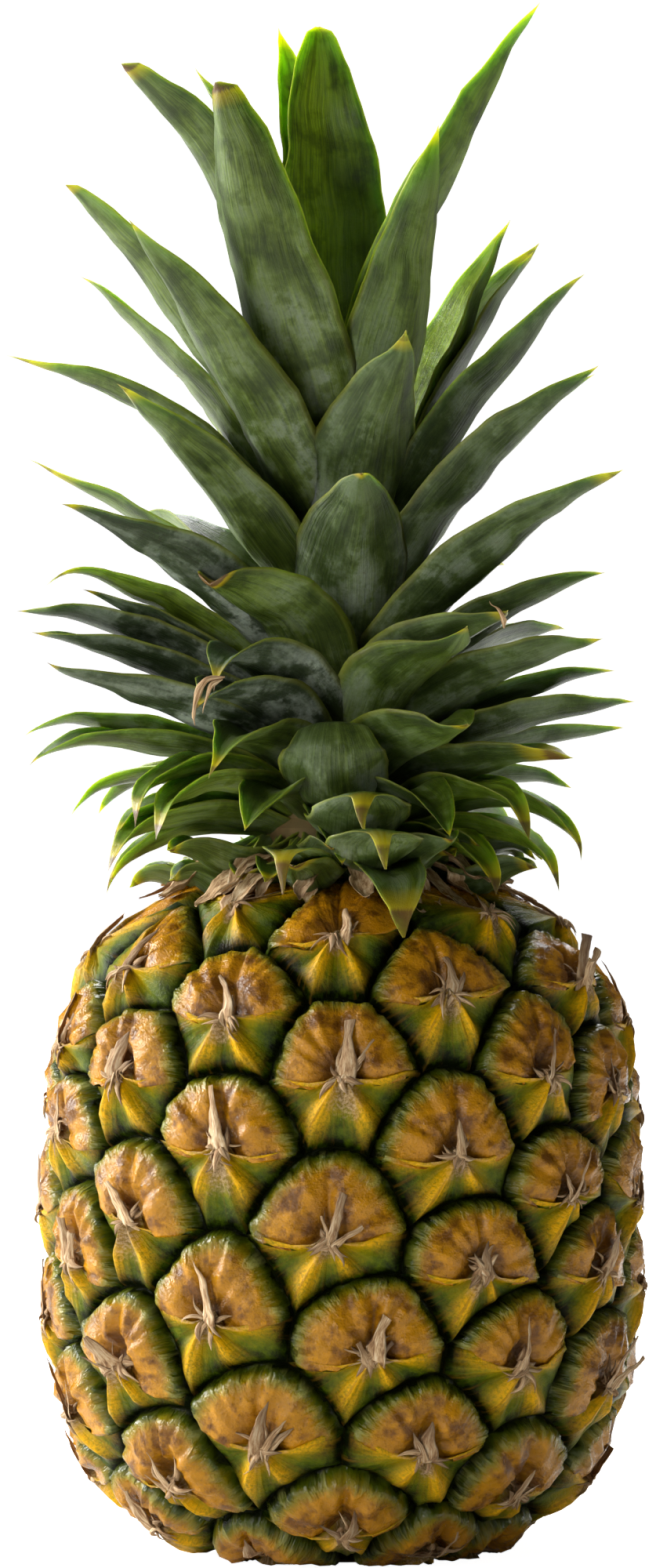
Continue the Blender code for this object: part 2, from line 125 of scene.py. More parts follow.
# Leaves in view: azimuth, reach from the axis, height of the tip, arch, width, bluntness (degrees, mm)
LEAVES_IN_VIEW = (
    # pointing at the viewer, lowest first
    (0, 38, 137, 30, 15, 1.7), (-26, 43, 143, 36, 15, 1.7), (27, 45, 142, 36, 15, 1.7),
    (14, 50, 123.5, 32, 14, 1.7), (-14, 48, 131, 26, 12, 1.7), (9, 52, 138, 34, 16, 1.7),
    (5, 50, 143.5, 40, 18, 2.0), (-3, 36, 165, 36, 21, 2.6), (-35, 47, 156, 36, 18, 1.7),
    (29, 50, 162, 14, 22, 2.0), (-40, 46, 168, 32, 18, 2.0), (-36, 46, 176, 30, 21, 2.0),
    (42, 48, 184, 20, 22, 2.0), (36, 43, 178, 24, 23, 2.0), (-37, 43, 190.5, 28, 24, 2.4),
    (6, 40, 212, 20, 23, 1.7), (19, 40, 238, 20, 22, 1.9), (38, 30, 281, -10, 21, 1.9),
    (-50, 54, 262, 4, 21, 1.8), (-55, 54, 230, 8, 20, 1.7), (-50, 70, 206, 10, 20, 1.7),
    (-42, 36.5, 289, -12, 25, 2.6),
    # left side, top to bottom
    (-62, 48.5, 293.5, 16, 20, 2.6), (-125, 37, 298, 14, 12, 2.0), (-70, 57, 270, 6, 16, 2.8),
    (-95, 53, 254, 12, 15, 2.0), (-80, 68, 237, 25, 16, 1.7), (-90, 63, 217, 11, 12, 1.7),
    (-75, 60, 197, 11, 14, 1.7), (-70, 54, 190, 10, 10, 2.0), (-74, 66, 187, 14, 15, 2.0),
    (-68, 66, 182, 8, 15, 2.0), (-62, 65, 176, -2, 17, 1.7), (-80, 64, 164, 12, 13, 2.0),
    (-72, 65, 159, 15, 14, 2.0), (-85, 56, 149, 22, 11, 1.7), (-55, 53, 146, 40, 13, 1.7),
    (-48, 51, 144, 34, 14, 1.7), (-66, 51, 142, 26, 12, 1.7), (-62, 54, 137, 26, 13, 1.7),
    (-74, 50, 132, 28, 12, 1.7),
    # right side, top to bottom
    (66, 43, 306, 9, 18, 1.8), (150, 14, 268, 4, 16, 2.0), (112, 37, 266, -2, 19, 2.6),
    (75, 50, 253, 8, 17, 2.0), (100, 52, 235, 10, 15, 2.0), (62, 57, 234, 10, 18, 2.0),
    (60, 62.5, 213, 9, 19, 2.0), (65, 57, 194, 12, 17, 2.0), (60, 59, 180.5, 10, 18, 2.0),
    (80, 55, 175, 9, 14, 2.0), (75, 60, 168.5, 9, 15, 2.0), (85, 56, 163, 8, 13, 2.0),
    (55, 55, 157, 10, 17, 2.0), (100, 47, 152, 14, 12, 2.0), (52, 49, 143, 34, 14, 1.7),
    (70, 53, 138.5, 36, 12, 1.7), (65, 49, 132.5, 30, 12, 1.7), (48, 42, 131.5, 24, 13, 1.7),
    (120, 46, 191, 10, 14, 2.0),
    # behind, top
    (192, 25, 306, 4, 20, 3.0), (-153, 28, 307, 2, 16, 2.0),
)
HIDDEN_LEAVES = 24
HIDDEN_FROM, HIDDEN_SPREAD, HIDDEN_TURN = 114.0, 132.0, 0.618
HIDDEN_TOP, HIDDEN_LOW, HIDDEN_CROWDING = 262, 139, 0.8
HIDDEN_REACH, HIDDEN_ARCH, HIDDEN_WIDTH = (44, 58), (6, 30), (21, 13)
LOW_LEAVES = 26
NECK_SCALES = 52

# Seeds of the random draws; an eye's own seed is one of the thousands and its number
PLACE_SEED = 8
LEAF_SEED = 3
SCALE_SEED = 5
TIP_SEED = 22
EYE_SEEDS = 1000
SHRED_SEEDS = 2000
THREAD_SEEDS = 3000


def linear(code):
    """An sRGB hex colour as the linear RGBA that a shader takes."""
    parts = [int(code[k : k + 2], 16) / 255 for k in (1, 3, 5)]
    return (*[c / 12.92 if c <= 0.04045 else ((c + 0.055) / 1.055) ** 2.4 for c in parts], 1.0)


class Net:
    """A node tree in which each call adds one node and returns its output."""

    def __init__(self, tree):
        self.tree = tree

    def put(self, socket, value):
        """A socket takes another node's output, a hex colour, or a plain value."""
        if isinstance(value, bpy.types.NodeSocket):
            self.tree.links.new(value, socket)
        elif isinstance(value, str) and value.startswith("#"):
            socket.default_value = linear(value)
        else:
            socket.default_value = value

    def add(self, kind, sockets=None, out=0, **settings):
        node = self.tree.nodes.new(kind)
        for name, value in settings.items():
            setattr(node, name, value)
        for name, value in (sockets or {}).items():
            self.put(node.inputs[name], value)
        return node.outputs if out is None else node.outputs[out]

    def math(self, operation, *values, clamp=False):
        return self.add("ShaderNodeMath", dict(enumerate(values)), operation=operation, use_clamp=clamp)

    def plus(self, first, second):
        return self.math("ADD", first, second)

    def times(self, value, *factors, clamp=False):
        for factor in factors:
            value = self.math("MULTIPLY", value, factor, clamp=clamp)
        return value

    def times_plus(self, value, factor, more):
        return self.math("MULTIPLY_ADD", value, factor, more)

    def scaled(self, vector, factor):
        return self.add("ShaderNodeVectorMath", {0: vector, "Scale": factor}, operation="SCALE")

    def xyz(self, x, y, z):
        return self.add("ShaderNodeCombineXYZ", {0: x, 1: y, 2: z})

    def remap(self, value, low, high, to_low=0.0, to_high=1.0):
        return self.add("ShaderNodeMapRange", {
            "Value": value, "From Min": low, "From Max": high, "To Min": to_low, "To Max": to_high,
        })

    def noise(self, place, scale, detail, roughness=0.5):
        return self.add("ShaderNodeTexNoise", {
            "Vector": place, "Scale": scale, "Detail": detail, "Roughness": roughness,
        })

    def mix(self, share, first, second):
        return self.add("ShaderNodeMix", {0: share, 6: first, 7: second}, out=2, data_type="RGBA")

    def layers(self, colour, *coats):
        """Lays coats over a colour in turn, each given as its cover and its own colour."""
        for cover, coat in coats:
            colour = self.mix(cover, colour, coat)
        return colour

    def ramp(self, value, bands):
        stops = self.tree.nodes.new("ShaderNodeValToRGB")
        self.put(stops.inputs[0], value)
        while len(stops.color_ramp.elements) < len(bands):
            stops.color_ramp.elements.new(0.5)
        for stop, (at, code) in zip(stops.color_ramp.elements, bands):
            stop.position = at
            stop.color = linear(code)
        return stops.outputs[0]

    def bump(self, level, strength, depth):
        return self.add("ShaderNodeBump", {"Height": level, "Strength": strength, "Distance": depth * MM})

    def fields(self, *names):
        """The attributes that a mesh carries, as a shader reads them."""
        return [self.add("ShaderNodeAttribute", out="Fac", attribute_name=name) for name in names]

    def kept(self, kind, *names):
        """The same attributes, as Geometry Nodes reads them."""
        return [self.add("GeometryNodeInputNamedAttribute", {"Name": name}, data_type=kind) for name in names]


def new_group(name, inputs):
    """A Geometry Nodes group with its inputs, given as the names under each kind of socket."""
    tree = bpy.data.node_groups.new(name, "GeometryNodeTree")
    tree.interface.new_socket("Geometry", in_out="OUTPUT", socket_type="NodeSocketGeometry")
    for kind, names in ({"Geometry": ("Geometry",)} | inputs).items():
        for each in names:
            tree.interface.new_socket(each, in_out="INPUT", socket_type="NodeSocket" + kind)
    net = Net(tree)
    return net, net.add("NodeGroupInput", out=None)


def close_group(net, geometry):
    """Ends a group: its result is shaded smooth and put out as real geometry."""
    smooth = net.add("GeometryNodeSetShadeSmooth", {"Geometry": geometry})
    real = net.add("GeometryNodeRealizeInstances", {"Geometry": smooth})
    net.add("NodeGroupOutput", {"Geometry": real}, out=None)
    return net.tree


def link_object(name, mesh):
    obj = bpy.data.objects.new(name, mesh)
    bpy.context.scene.collection.objects.link(obj)
    return obj


def store(mesh, name, kind, values):
    layer = mesh.attributes.new(name, kind, "POINT")
    slot = "vector" if kind == "FLOAT_VECTOR" else "value"
    layer.data.foreach_set(slot, np.asarray(values, np.float32).ravel())


def grow(name, mesh, tree, inputs):
    """Runs a Geometry Nodes tree on a mesh and returns the result as a plain mesh object."""
    obj = link_object(name, mesh)
    modifier = obj.modifiers.new("grow", "NODES")
    modifier.node_group = tree
    for item in tree.interface.items_tree:
        if item.in_out == "INPUT" and item.name in inputs:
            modifier[item.identifier] = inputs[item.name]
    grown = bpy.data.meshes.new_from_object(obj.evaluated_get(bpy.context.evaluated_depsgraph_get()))
    obj.modifiers.clear()
    obj.data = grown
    grown.name = name
    return obj


def barrel_outline():
    """Samples up the skin's outline: radius, height, outward normal, arc, area below and map height."""
    share = np.linspace(0, 1, OUTLINE_STEPS)
    low = np.cos(share * math.pi / 2)
    low_r = FOOT_RADIUS + (FRUIT_RADIUS - FOOT_RADIUS) * (1 - low**FOOT_POWER) ** FOOT_ROUND
    neck_share = (1 - (NECK_RADIUS / FRUIT_RADIUS) ** (1 / NECK_ROUND)) ** (1 / NECK_POWER)
    high = np.sin(share[1:] * math.asin(neck_share))
    high_r = FRUIT_RADIUS * (1 - high**NECK_POWER) ** NECK_ROUND
    r = np.concatenate([low_r, high_r])
    z = np.concatenate([WIDEST_AT * (1 - low), WIDEST_AT + (BARREL_TOP - WIDEST_AT) * high])
    steps = np.hypot(np.diff(r), np.diff(z))
    middle = (r[1:] + r[:-1]) / 2
    arc = np.concatenate([[0], np.cumsum(steps)])
    along_r, along_z = np.gradient(r, arc), np.gradient(z, arc)
    length = np.hypot(along_r, along_z)
    return {
        "r": r,
        "z": z,
        "out_r": along_z / length,
        "out_z": -along_r / length,
        "arc": arc,
        "area": np.concatenate([[0], np.cumsum(2 * math.pi * middle * steps)]),
        "map": np.concatenate([[0], np.cumsum(steps / middle)]),
    }


OUTLINE = barrel_outline()


def read(column, value, by="map"):
    return np.interp(value, OUTLINE[by], OUTLINE[column])


def round_axis(azimuth, reach, height):
    return np.stack([reach * np.sin(azimuth), -reach * np.cos(azimuth), height], axis=-1)


def outward(azimuth, map_height):
    return round_axis(azimuth, read("out_r", map_height), read("out_z", map_height))


def skin_points(azimuth, map_height, lift):
    """Points on the skin, lifted along its normal by a number of millimetres."""
    flat = round_axis(azimuth, read("r", map_height), read("z", map_height))
    return flat + np.asarray(lift)[..., None] * MM * outward(azimuth, map_height)


def map_ends(height):
    """How far the skin's map goes on below and above a height on it."""
    return OUTLINE["map"][0] - height, OUTLINE["map"][-1] - height


def eye_places():
    """Azimuth and map height of each eye's heart, by its number up the spiral."""
    rng = random.Random(PLACE_SEED)
    places = {}
    for k in EYE_RANGE:
        azimuth = FIRST_EYE_AZIMUTH + EYE_TURN * k
        arc = read("arc", max(0.0, (k + SPIRAL_START) * EYE_AREA), by="area")
        girth = read("r", arc, by="arc") / FRUIT_RADIUS
        arc += SPIRAL_LEAN * girth * math.sin(math.radians(azimuth - LEAN_FROM))
        loose = (rng.uniform(-LOOSE_TURN, LOOSE_TURN), rng.uniform(-LOOSE_RISE, LOOSE_RISE))
        if k in EYE_DRIFT:
            loose = (EYE_DRIFT[k][0], EYE_DRIFT[k][1] * MM)
        arc += loose[1]
        if EDGE_MARGIN < arc < OUTLINE["arc"][-1] - EDGE_MARGIN:
            turned = math.radians(azimuth + loose[0])
            places[k] = (turned % (2 * math.pi), float(read("map", arc, by="arc")))
    return places


def keep_nearer(corners, dx, dy):
    """Cuts a polygon to the part nearer to the origin than to (dx, dy)."""
    half = (dx * dx + dy * dy) / 2
    kept = []
    for (ax, ay), (bx, by) in zip(corners, corners[1:] + corners[:1]):
        a, b = ax * dx + ay * dy - half, bx * dx + by * dy - half
        if a <= 0:
            kept.append((ax, ay))
        if (a < 0) != (b < 0) and a != b:
            t = a / (a - b)
            kept.append((ax + (bx - ax) * t, ay + (by - ay) * t))
    return kept


def cell_of(place, places):
    """Corners of an eye's cell, round its heart, counterclockwise from outside."""
    azimuth, height = place
    low, high = map_ends(height)
    corners = [(-1.5, low), (1.5, low), (1.5, high), (-1.5, high)]
    for other in places:
        dx = (other[0] - azimuth + math.pi) % (2 * math.pi) - math.pi
        dy = other[1] - height
        if 1e-6 < abs(dx) + abs(dy) < 3:
            corners = keep_nearer(corners, dx, dy)
    return corners


def cut_edges(corners, first, last, height):
    """The cell's outline from one corner to another, cut in equal lengths along each edge."""
    count = len(corners)
    low, high = map_ends(height)
    points = []
    k = first
    while k != last:
        (ax, ay), (bx, by) = corners[k], corners[(k + 1) % count]
        run, rise = bx - ax, by - ay
        span = math.hypot(run, rise) * read("r", height + (ay + by) / 2) / MM
        cuts = max(2, math.ceil(span / SPOKE_SPACING - 0.001))
        # the pad below an edge swells up into the bract above it, which leaves the bract its arms and feet
        swell = EDGE_SWELL * abs(run) / math.hypot(run, rise) * (1 if run > 0 else -1)
        if max(ay, by) < low + 1e-6 or min(ay, by) > high - 1e-6:
            swell = 0.0
        for c in range(cuts):
            t = c / cuts
            arc = 4 * t * (1 - t) * swell
            points.append((ax + run * t - rise * arc, ay + rise * t + run * arc))
        k = (k + 1) % count
    return points + [corners[last]]


# How high the bract stands from its lip to the groove, and how its lip and the pad's foot sag to each side
BRACT_SHARES = (0, 0.12, 0.45, 0.70, 0.84, 0.93, 1.0)
BRACT_HEIGHTS = (2.0, 1.6, 0.7, -0.1, -0.8, -1.7, GROOVE)
LIP_SHARES = (0, 0.15, 0.3, 0.5, 0.75, 0.9, 1)
LIP_SAG = (0, -0.9, -1.5, -1.0, 0.2, 0.3, 0)
FOOT_SAG = (0, -1.2, -2.6, -2.4, -1.3, -0.6, 0)


def bump(value, middle, half):
    return np.exp(-(((value - middle) / half) ** 2))


def rounded_reach(angles, reach):
    """How far an eye's fleshy pad reaches in each direction: its cell with the corners rounded off."""
    grid = np.linspace(-math.pi, math.pi, 97)[:-1]
    order = np.argsort(angles)
    even = np.interp(grid, angles[order], reach[order], period=2 * math.pi)
    blur = np.exp(-((np.minimum(np.arange(96), 96 - np.arange(96)) / 3.2) ** 2))
    soft = np.real(np.fft.ifft(np.fft.fft(even) * np.fft.fft(blur / blur.sum())))
    return np.minimum(np.interp(angles, grid, soft, period=2 * math.pi), reach)


def pad_relief(x, y, rim, height, rng):
    """Height of the pad: two swollen lobes, folded out to a ragged rim, with a slit and a sunken cup."""
    angle = np.arctan2(y - 1, x)
    ragged = rim
    for folds, share in RIM_FOLDS:
        ragged = ragged + share * np.sin(folds * angle + rng.uniform(0, 6.3))
    lift = GROOVE * np.clip((ragged - 0.89) / 0.105, 0, 1) ** 1.3
    lift += DOME_HEIGHT * np.sin(math.pi * np.clip(ragged / 0.93, 0, 1)) ** 0.7
    inside = np.clip((0.94 - rim) / 0.2, 0, 1)
    bend = rng.uniform(0, 6)
    side = np.abs(x - 0.5 * np.sin(y * 0.9 + bend))
    lift -= rng.uniform(0.8, 1.8) * bump(side, 0, 0.9) * np.clip((y - 2) / 2, 0, 1) * inside
    lift += LOBE_HEIGHT * bump(np.abs(x), 5.6, 3.4) * bump(y, 3.6, 3.4) * np.clip((1 - rim) * 4, 0, 1)
    fold = np.sin(11 * angle + rng.uniform(0, 6.3) + 1.8 * np.sin(3 * angle + rng.uniform(0, 6.3)))
    lift += FOLD_HEIGHT * fold * np.clip((rim - 0.25) / 0.3, 0, 1) * inside
    lift -= CUP_DEPTH * np.exp(-(x**2 + (y - 1.2) ** 2) / CUP_RADIUS**2)
    for _ in range(PAD_LUMPS):
        at_x, at_y = rng.uniform(-10, 10), rng.uniform(1, height)
        size, rise = rng.uniform(0.8, 2.2), rng.uniform(-1.2, 1.0)
        lift += rise * np.exp(-((x - at_x) ** 2 + (y - at_y) ** 2) / size**2) * inside
    return lift


def bract_relief(share, fall, rng):
    """Height of the bract: it rises from the groove to its lip, with ridges down to its two feet."""
    lift = np.interp(share, BRACT_SHARES, BRACT_HEIGHTS)
    window = np.sin(math.pi * np.clip(share, 0, 1)) ** 0.6
    spread, sharp = rng.uniform(24, 32), rng.uniform(7, 10)
    lift += 1.4 * bump(np.abs(fall), spread, sharp) * window
    lift -= 0.9 * bump(fall, rng.uniform(-4, 4), 10) * window
    lift -= 1.4 * bump(np.abs(fall), 56, 15) * window
    lift += 0.8 * bump(np.abs(fall), 92, 15) * window
    return lift, bump(np.abs(fall), spread, sharp + 5)


def add_eye(kept, number, place, places):
    """One eye as two fans of spokes: a pad above, a bract below, and the lip's wall between them."""
    rng = random.Random(EYE_SEEDS + number)
    corners = cell_of(place, places)
    scale = read("r", place[1]) / MM
    floor, ceiling = map_ends(place[1])
    right = max(range(len(corners)), key=lambda k: corners[k][0] + 0.15 * corners[k][1])
    left = min(range(len(corners)), key=lambda k: corners[k][0] - 0.15 * corners[k][1])
    chains = [cut_edges(corners, right, left, place[1]), cut_edges(corners, left, right, place[1])]
    shares = np.array(RING_SHARES)
    rounds = np.array(chains[0] + chains[1]) * scale
    reach_at = rounded_reach(np.arctan2(rounds[:, 1], rounds[:, 0]), np.hypot(rounds[:, 0], rounds[:, 1]))
    tall = max(c[1] for c in corners) * scale
    verts, data, sheets = [], [], []
    start = sum(len(v) for v in kept["verts"])

    def put(x, y, lift, rim, share, ridge, dry, bract):
        """Adds points given in millimetres round the heart, and returns their numbers."""
        first = start + sum(len(v) for v in verts)
        az, mh = place[0] + x / scale, place[1] + y / scale
        verts.append(skin_points(az, mh, lift))
        around = np.arctan2(y, x) * MM_PER_RADIAN
        data.append(np.column_stack([
            x, y, np.full(x.shape, number * NOISE_STEP), outward(az, mh), rim, share, ridge, dry,
            np.full(x.shape, bract), around,
        ]))
        return np.arange(first, first + len(x))

    for which, chain in enumerate(chains):
        edge = np.array(chain) * scale
        offset = 0 if which == 0 else len(chains[0])
        span = np.hypot(edge[:, 0], edge[:, 1])
        ratio = span / reach_at[offset : offset + len(chain)]
        x = edge[:, :1] * shares
        y = edge[:, 1:] * shares
        share = np.repeat(shares[None, :], len(chain), axis=0)
        rim = share * ratio[:, None]
        fall = np.degrees(np.arctan2(x, -y))
        ends = np.degrees(np.arctan2(edge[[0, -1], 1], edge[[0, -1], 0]))
        turn = np.degrees(np.arctan2(y, x))
        gap = np.minimum(*[np.abs((turn - e + 180) % 360 - 180) for e in ends])
        if which == 0:
            lift = pad_relief(x, y, rim, tall, rng)
            lift = lift - 0.8 * bump(gap, 0, 22) * (1 - share**3)
            y = y + np.interp(share, LIP_SHARES, FOOT_SAG) * bump(gap, 0, 24)
            ridge, dry = np.zeros(x.shape), bump(np.hypot(x, y - 1), 0, 3.2)
        else:
            lift, ridge = bract_relief(share, fall, rng)
            ridge = np.maximum(ridge, 0.9 * bump(gap, 4, 13))
            y = y + np.interp(share, LIP_SHARES, LIP_SAG) * bump(gap, 0, 20)
            dry = 1.9 * bump(fall, rng.uniform(-12, 12), rng.uniform(26, 48))
            dry = np.clip(dry * (1 - share * rng.uniform(1.4, 2.6)), 0, 1)
            dry = dry + bump(gap, 4, 14) * np.clip(1 - share * rng.uniform(1.3, 2.0), 0, 1)
        at_edge = (edge[:, 1] < floor * scale + 1e-4) | (edge[:, 1] > ceiling * scale - 1e-4)
        lift[:, 0] = np.where(at_edge, EDGE_GROOVE, GROOVE)
        y[:, 0], x[:, 0] = edge[:, 1], edge[:, 0]
        rows = put(*[a.ravel() for a in (x, y, lift, rim, share, ridge, dry)], float(which)).reshape(x.shape)
        middle = (0.0, 1.4, -1.9) if which == 0 else (0.0, 0.3, 2.1)
        heart = put(*[np.array([v]) for v in (*middle, 0.0, 0.0, 0.0, 1.0)], float(which))[0]
        sheets.append((rows, heart, x, y, lift))
        a, b, c, d = rows[:-1, :-1], rows[1:, :-1], rows[1:, 1:], rows[:-1, 1:]
        hearts = np.full(len(rows) - 1, heart)
        kept["faces"] += np.stack([a, b, c, d], -1).reshape(-1, 4).tolist()
        kept["faces"] += np.column_stack([rows[:-1, -1], rows[1:, -1], hearts]).tolist()
        kept["bract"] += [which] * (a.size + len(hearts))
    # the lip's wall, from the bract's edge round under it and down to the pad
    pad, bract = sheets
    for p, b, turned in ((0, -1, False), (-1, 0, True)):
        x, y, lift = bract[2][b], bract[3][b], bract[4][b]
        thick = 0.9 * np.sin(math.pi * np.clip(1 - shares, 0, 1) ** 0.6) + 0.15
        thick[0] = 0
        under = put(x, y - 0.5 * thick, lift - thick, shares, shares, 0 * x, 0.9 * (1 - shares) ** 2, 1.0)
        peak = put(*[np.array([v]) for v in (0.0, 0.0, 0.6, 0.0, 0.0, 0.0, 1.0)], 1.0)
        high = np.append(bract[0][b], bract[1])
        middle = np.append(under, peak)
        low = np.append(pad[0][p], pad[1])
        for top, foot in ((high, middle), (middle, low)):
            wall = np.stack([top[:-1], foot[:-1], foot[1:], top[1:]], -1)
            kept["faces"] += (wall[:, ::-1] if turned else wall).tolist()
            kept["bract"] += [1] * len(wall)
    kept["verts"] += verts
    kept["data"] += data


def loop_order(edge):
    """The edge's ends in the order that a new face on its open side takes them."""
    loop = edge.link_loops[0]
    return loop.link_loop_next.vert, loop.vert


def close_skin(skin):
    """Joins the skin's lower edge to a flat ring with a hole for the stalk, and caps its upper edge."""
    low = [e for e in skin.edges if e.is_boundary and e.verts[0].co.z < WIDEST_AT]
    high = [e for e in skin.edges if e.is_boundary and e.verts[0].co.z > WIDEST_AT]
    seat = BARREL_TOP - CLEARANCE
    for edges, rings in (
        (low, ((FOOT_FLAT, 0.0), (STALK_HOLE, 0.0), (STALK_HOLE, STALK_DEPTH))),
        (high, ((SEAT_RADIUS, seat),)),
    ):
        stack = {}
        for vert in dict.fromkeys(v for e in edges for v in e.verts):
            flat = Vector((vert.co.x, vert.co.y, 0)).normalized()
            stack[vert] = [vert] + [skin.verts.new(flat * r + Vector((0, 0, z))) for r, z in rings]
        middle = skin.verts.new((0, 0, rings[-1][1]))
        for edge in edges:
            a, b = loop_order(edge)
            for k in range(len(rings)):
                skin.faces.new((stack[a][k], stack[b][k], stack[b][k + 1], stack[a][k + 1]))
            skin.faces.new((stack[a][-1], stack[b][-1], middle))


SKIN_DATA = (
    ("eye_place", 3), ("outward", 3), ("rim", 1), ("share", 1), ("ridge", 1), ("dry", 1), ("bract", 1),
    ("around", 1),
)


def skin_mesh(places):
    """All eyes welded into one closed skin, with what each point is kept as attributes."""
    parts = {"verts": [], "data": [], "faces": [], "bract": []}
    for number, place in places.items():
        add_eye(parts, number, place, list(places.values()))
    mesh = bpy.data.meshes.new("skin")
    mesh.from_pydata(np.concatenate(parts["verts"]), [], parts["faces"])
    mesh.polygons.foreach_set("material_index", np.array(parts["bract"], np.int32))
    table = np.concatenate(parts["data"])
    at = 0
    for name, width in SKIN_DATA:
        store(mesh, name, "FLOAT_VECTOR" if width == 3 else "FLOAT", table[:, at : at + width])
        at += width
    skin = bmesh.new()
    skin.from_mesh(mesh)
    bmesh.ops.remove_doubles(skin, verts=skin.verts, dist=WELD_REACH)
    bmesh.ops.dissolve_degenerate(skin, edges=skin.edges, dist=SLIVER)
    for vert in skin.verts:
        vert.co.z = max(vert.co.z, CLEARANCE)
    close_skin(skin)
    skin.to_mesh(mesh)
    skin.free()
    return mesh


def relief_tree():
    """Small lumps over the skin, and the pleats round the rim of each pad."""
    net, given = new_group("relief of the skin", {
        "Float": ("Lump size", "Lump height", "Pleat pitch", "Pleat height"),
    })
    place, out = net.kept("FLOAT_VECTOR", "eye_place", "outward")
    rim, around, bract = net.kept("FLOAT", "rim", "around", "bract")
    noise = net.noise(place, net.math("DIVIDE", 1.0, given["Lump size"]), 2.0)
    lump = net.times(net.plus(noise, -0.5), given["Lump height"], net.remap(rim, 0.9, 0.7))
    turns = net.plus(net.math("DIVIDE", around, given["Pleat pitch"]), noise)
    pleat = net.times(
        net.math("SINE", net.times(turns, 2 * math.pi)),
        net.remap(rim, 0.62, 0.86), net.remap(rim, 1.0, 0.93), net.math("SUBTRACT", 1.0, bract),
        net.remap(noise, 0.45, 0.6, 0.1, 1.6), given["Pleat height"],
    )
    offset = net.scaled(out, net.plus(lump, pleat))
    moved = net.add("GeometryNodeSetPosition", {"Geometry": given["Geometry"], "Offset": offset})
    return close_group(net, moved)


def blade_tree():
    """Sweeps a channelled section along every path, as wide as the path's own attribute says."""
    net, given = new_group("blade along a path", {
        "Float": ("Channel depth", "Thickness", "Keel power", "Wave length", "Wave height"),
        "Int": ("Faces around",),
        "Material": ("Finish",),
    })
    across, inward = net.kept("FLOAT_VECTOR", "across", "inward")
    wide, edge, cup = net.kept("FLOAT", "wide", "edge", "cup")
    path = net.add("GeometryNodeMeshToCurve", {"Mesh": given["Geometry"]})
    path = net.add("GeometryNodeSetCurveNormal", {"Curve": path, "Normal": across}, mode="FREE")

    section = {"Resolution": given["Faces around"], "Radius": 0.5}
    ring = net.add("GeometryNodeCurvePrimitiveCircle", section, mode="RADIUS")
    at = net.add("ShaderNodeSeparateXYZ", {0: net.add("GeometryNodeInputPosition")}, out=None)
    for name, value in (("edge", net.times(at[0], 2.0)), ("inner", at[1])):
        ring = net.add(
            "GeometryNodeStoreNamedAttribute", {"Geometry": ring, "Name": name, "Value": value},
            data_type="FLOAT",
        )
    spot = net.xyz(at[0], net.times(at[1], given["Thickness"]), 0.0)
    ring = net.add("GeometryNodeSetPosition", {"Geometry": ring, "Position": spot})
    swept = net.add("GeometryNodeCurveToMesh", {
        "Curve": path, "Profile Curve": ring, "Scale": wide, "Fill Caps": True,
    })
    # the channel: both edges rise towards the inner face from a soft keel
    raised = net.math("POWER", net.math("ABSOLUTE", edge), given["Keel power"])
    raised = net.scaled(inward, net.times(raised, wide, given["Channel depth"], cup))
    # growth leaves no blade even: slow waves that are a number of metres long and high
    finer = net.math("DIVIDE", 1.0, given["Wave length"])
    waves = net.add("ShaderNodeTexNoise", {"Scale": finer, "Detail": 1.0}, out="Color")
    waves = net.add("ShaderNodeVectorMath", {0: waves, 1: (0.5, 0.5, 0.5)}, operation="SUBTRACT")
    for offset in (raised, net.scaled(waves, given["Wave height"])):
        swept = net.add("GeometryNodeSetPosition", {"Geometry": swept, "Offset": offset})
    swept = net.add("GeometryNodeSetMaterial", {"Geometry": swept, "Material": given["Finish"]})
    return close_group(net, swept)


PATH_DATA = (
    ("wide", "FLOAT"), ("along", "FLOAT"), ("grown", "FLOAT"), ("dry", "FLOAT"), ("tone", "FLOAT"),
    ("fresh", "FLOAT"), ("cup", "FLOAT"), ("across", "FLOAT_VECTOR"), ("inward", "FLOAT_VECTOR"),
)


def path_mesh(name, paths):
    """Each path is a dict of its points and of what each point keeps as attributes."""
    mesh = bpy.data.meshes.new(name)
    for p in paths:
        inward = np.cross(np.gradient(p["points"], axis=0), p["across"])
        p["inward"] = inward / np.linalg.norm(inward, axis=1, keepdims=True)
    points = np.concatenate([p["points"] for p in paths])
    edges, first = [], 0
    for p in paths:
        count = len(p["points"])
        edges += [(first + k, first + k + 1) for k in range(count - 1)]
        first += count
    mesh.from_pydata(points, edges, [])
    for field, kind in PATH_DATA:
        store(mesh, field, kind, np.concatenate([p[field] for p in paths]))
    return mesh


def stem_radius(height):
    share = min(1.0, max(0.0, (height - CROWN_FOOT) / STEM_HEIGHT))
    return STEM_RADIUS + (STEM_TIP_RADIUS - STEM_RADIUS) * share**1.3


def blade_width(t, blunt):
    """Share of the full width at t along the blade: a narrower root and a pointed arch at the tip."""
    root = ROOT_WIDTH + (1 - ROOT_WIDTH) * np.sin(math.pi / 2 * np.minimum(t / WIDEST_SHARE, 1))
    tip = 1 - np.clip((t - WIDEST_SHARE) / (1 - WIDEST_SHARE), 0, 1) ** blunt
    return np.where(t < WIDEST_SHARE, root, tip)


def through(knots, t):
    """Points at even shares t of a smooth line through knots of any dimension."""
    knots = np.array(knots, float) * MM
    ends = np.vstack([2 * knots[0] - knots[1], knots, 2 * knots[-1] - knots[-2]])
    at = t * (len(knots) - 1)
    k = np.minimum(at.astype(int), len(knots) - 2)
    u = (at - k)[:, None]
    a, b, c, d = (ends[k + n] for n in range(4))
    return 0.5 * (2 * b + (c - a) * u + (2 * a - 5 * b + 4 * c - d) * u**2 + (3 * b - a - 3 * c + d) * u**3)


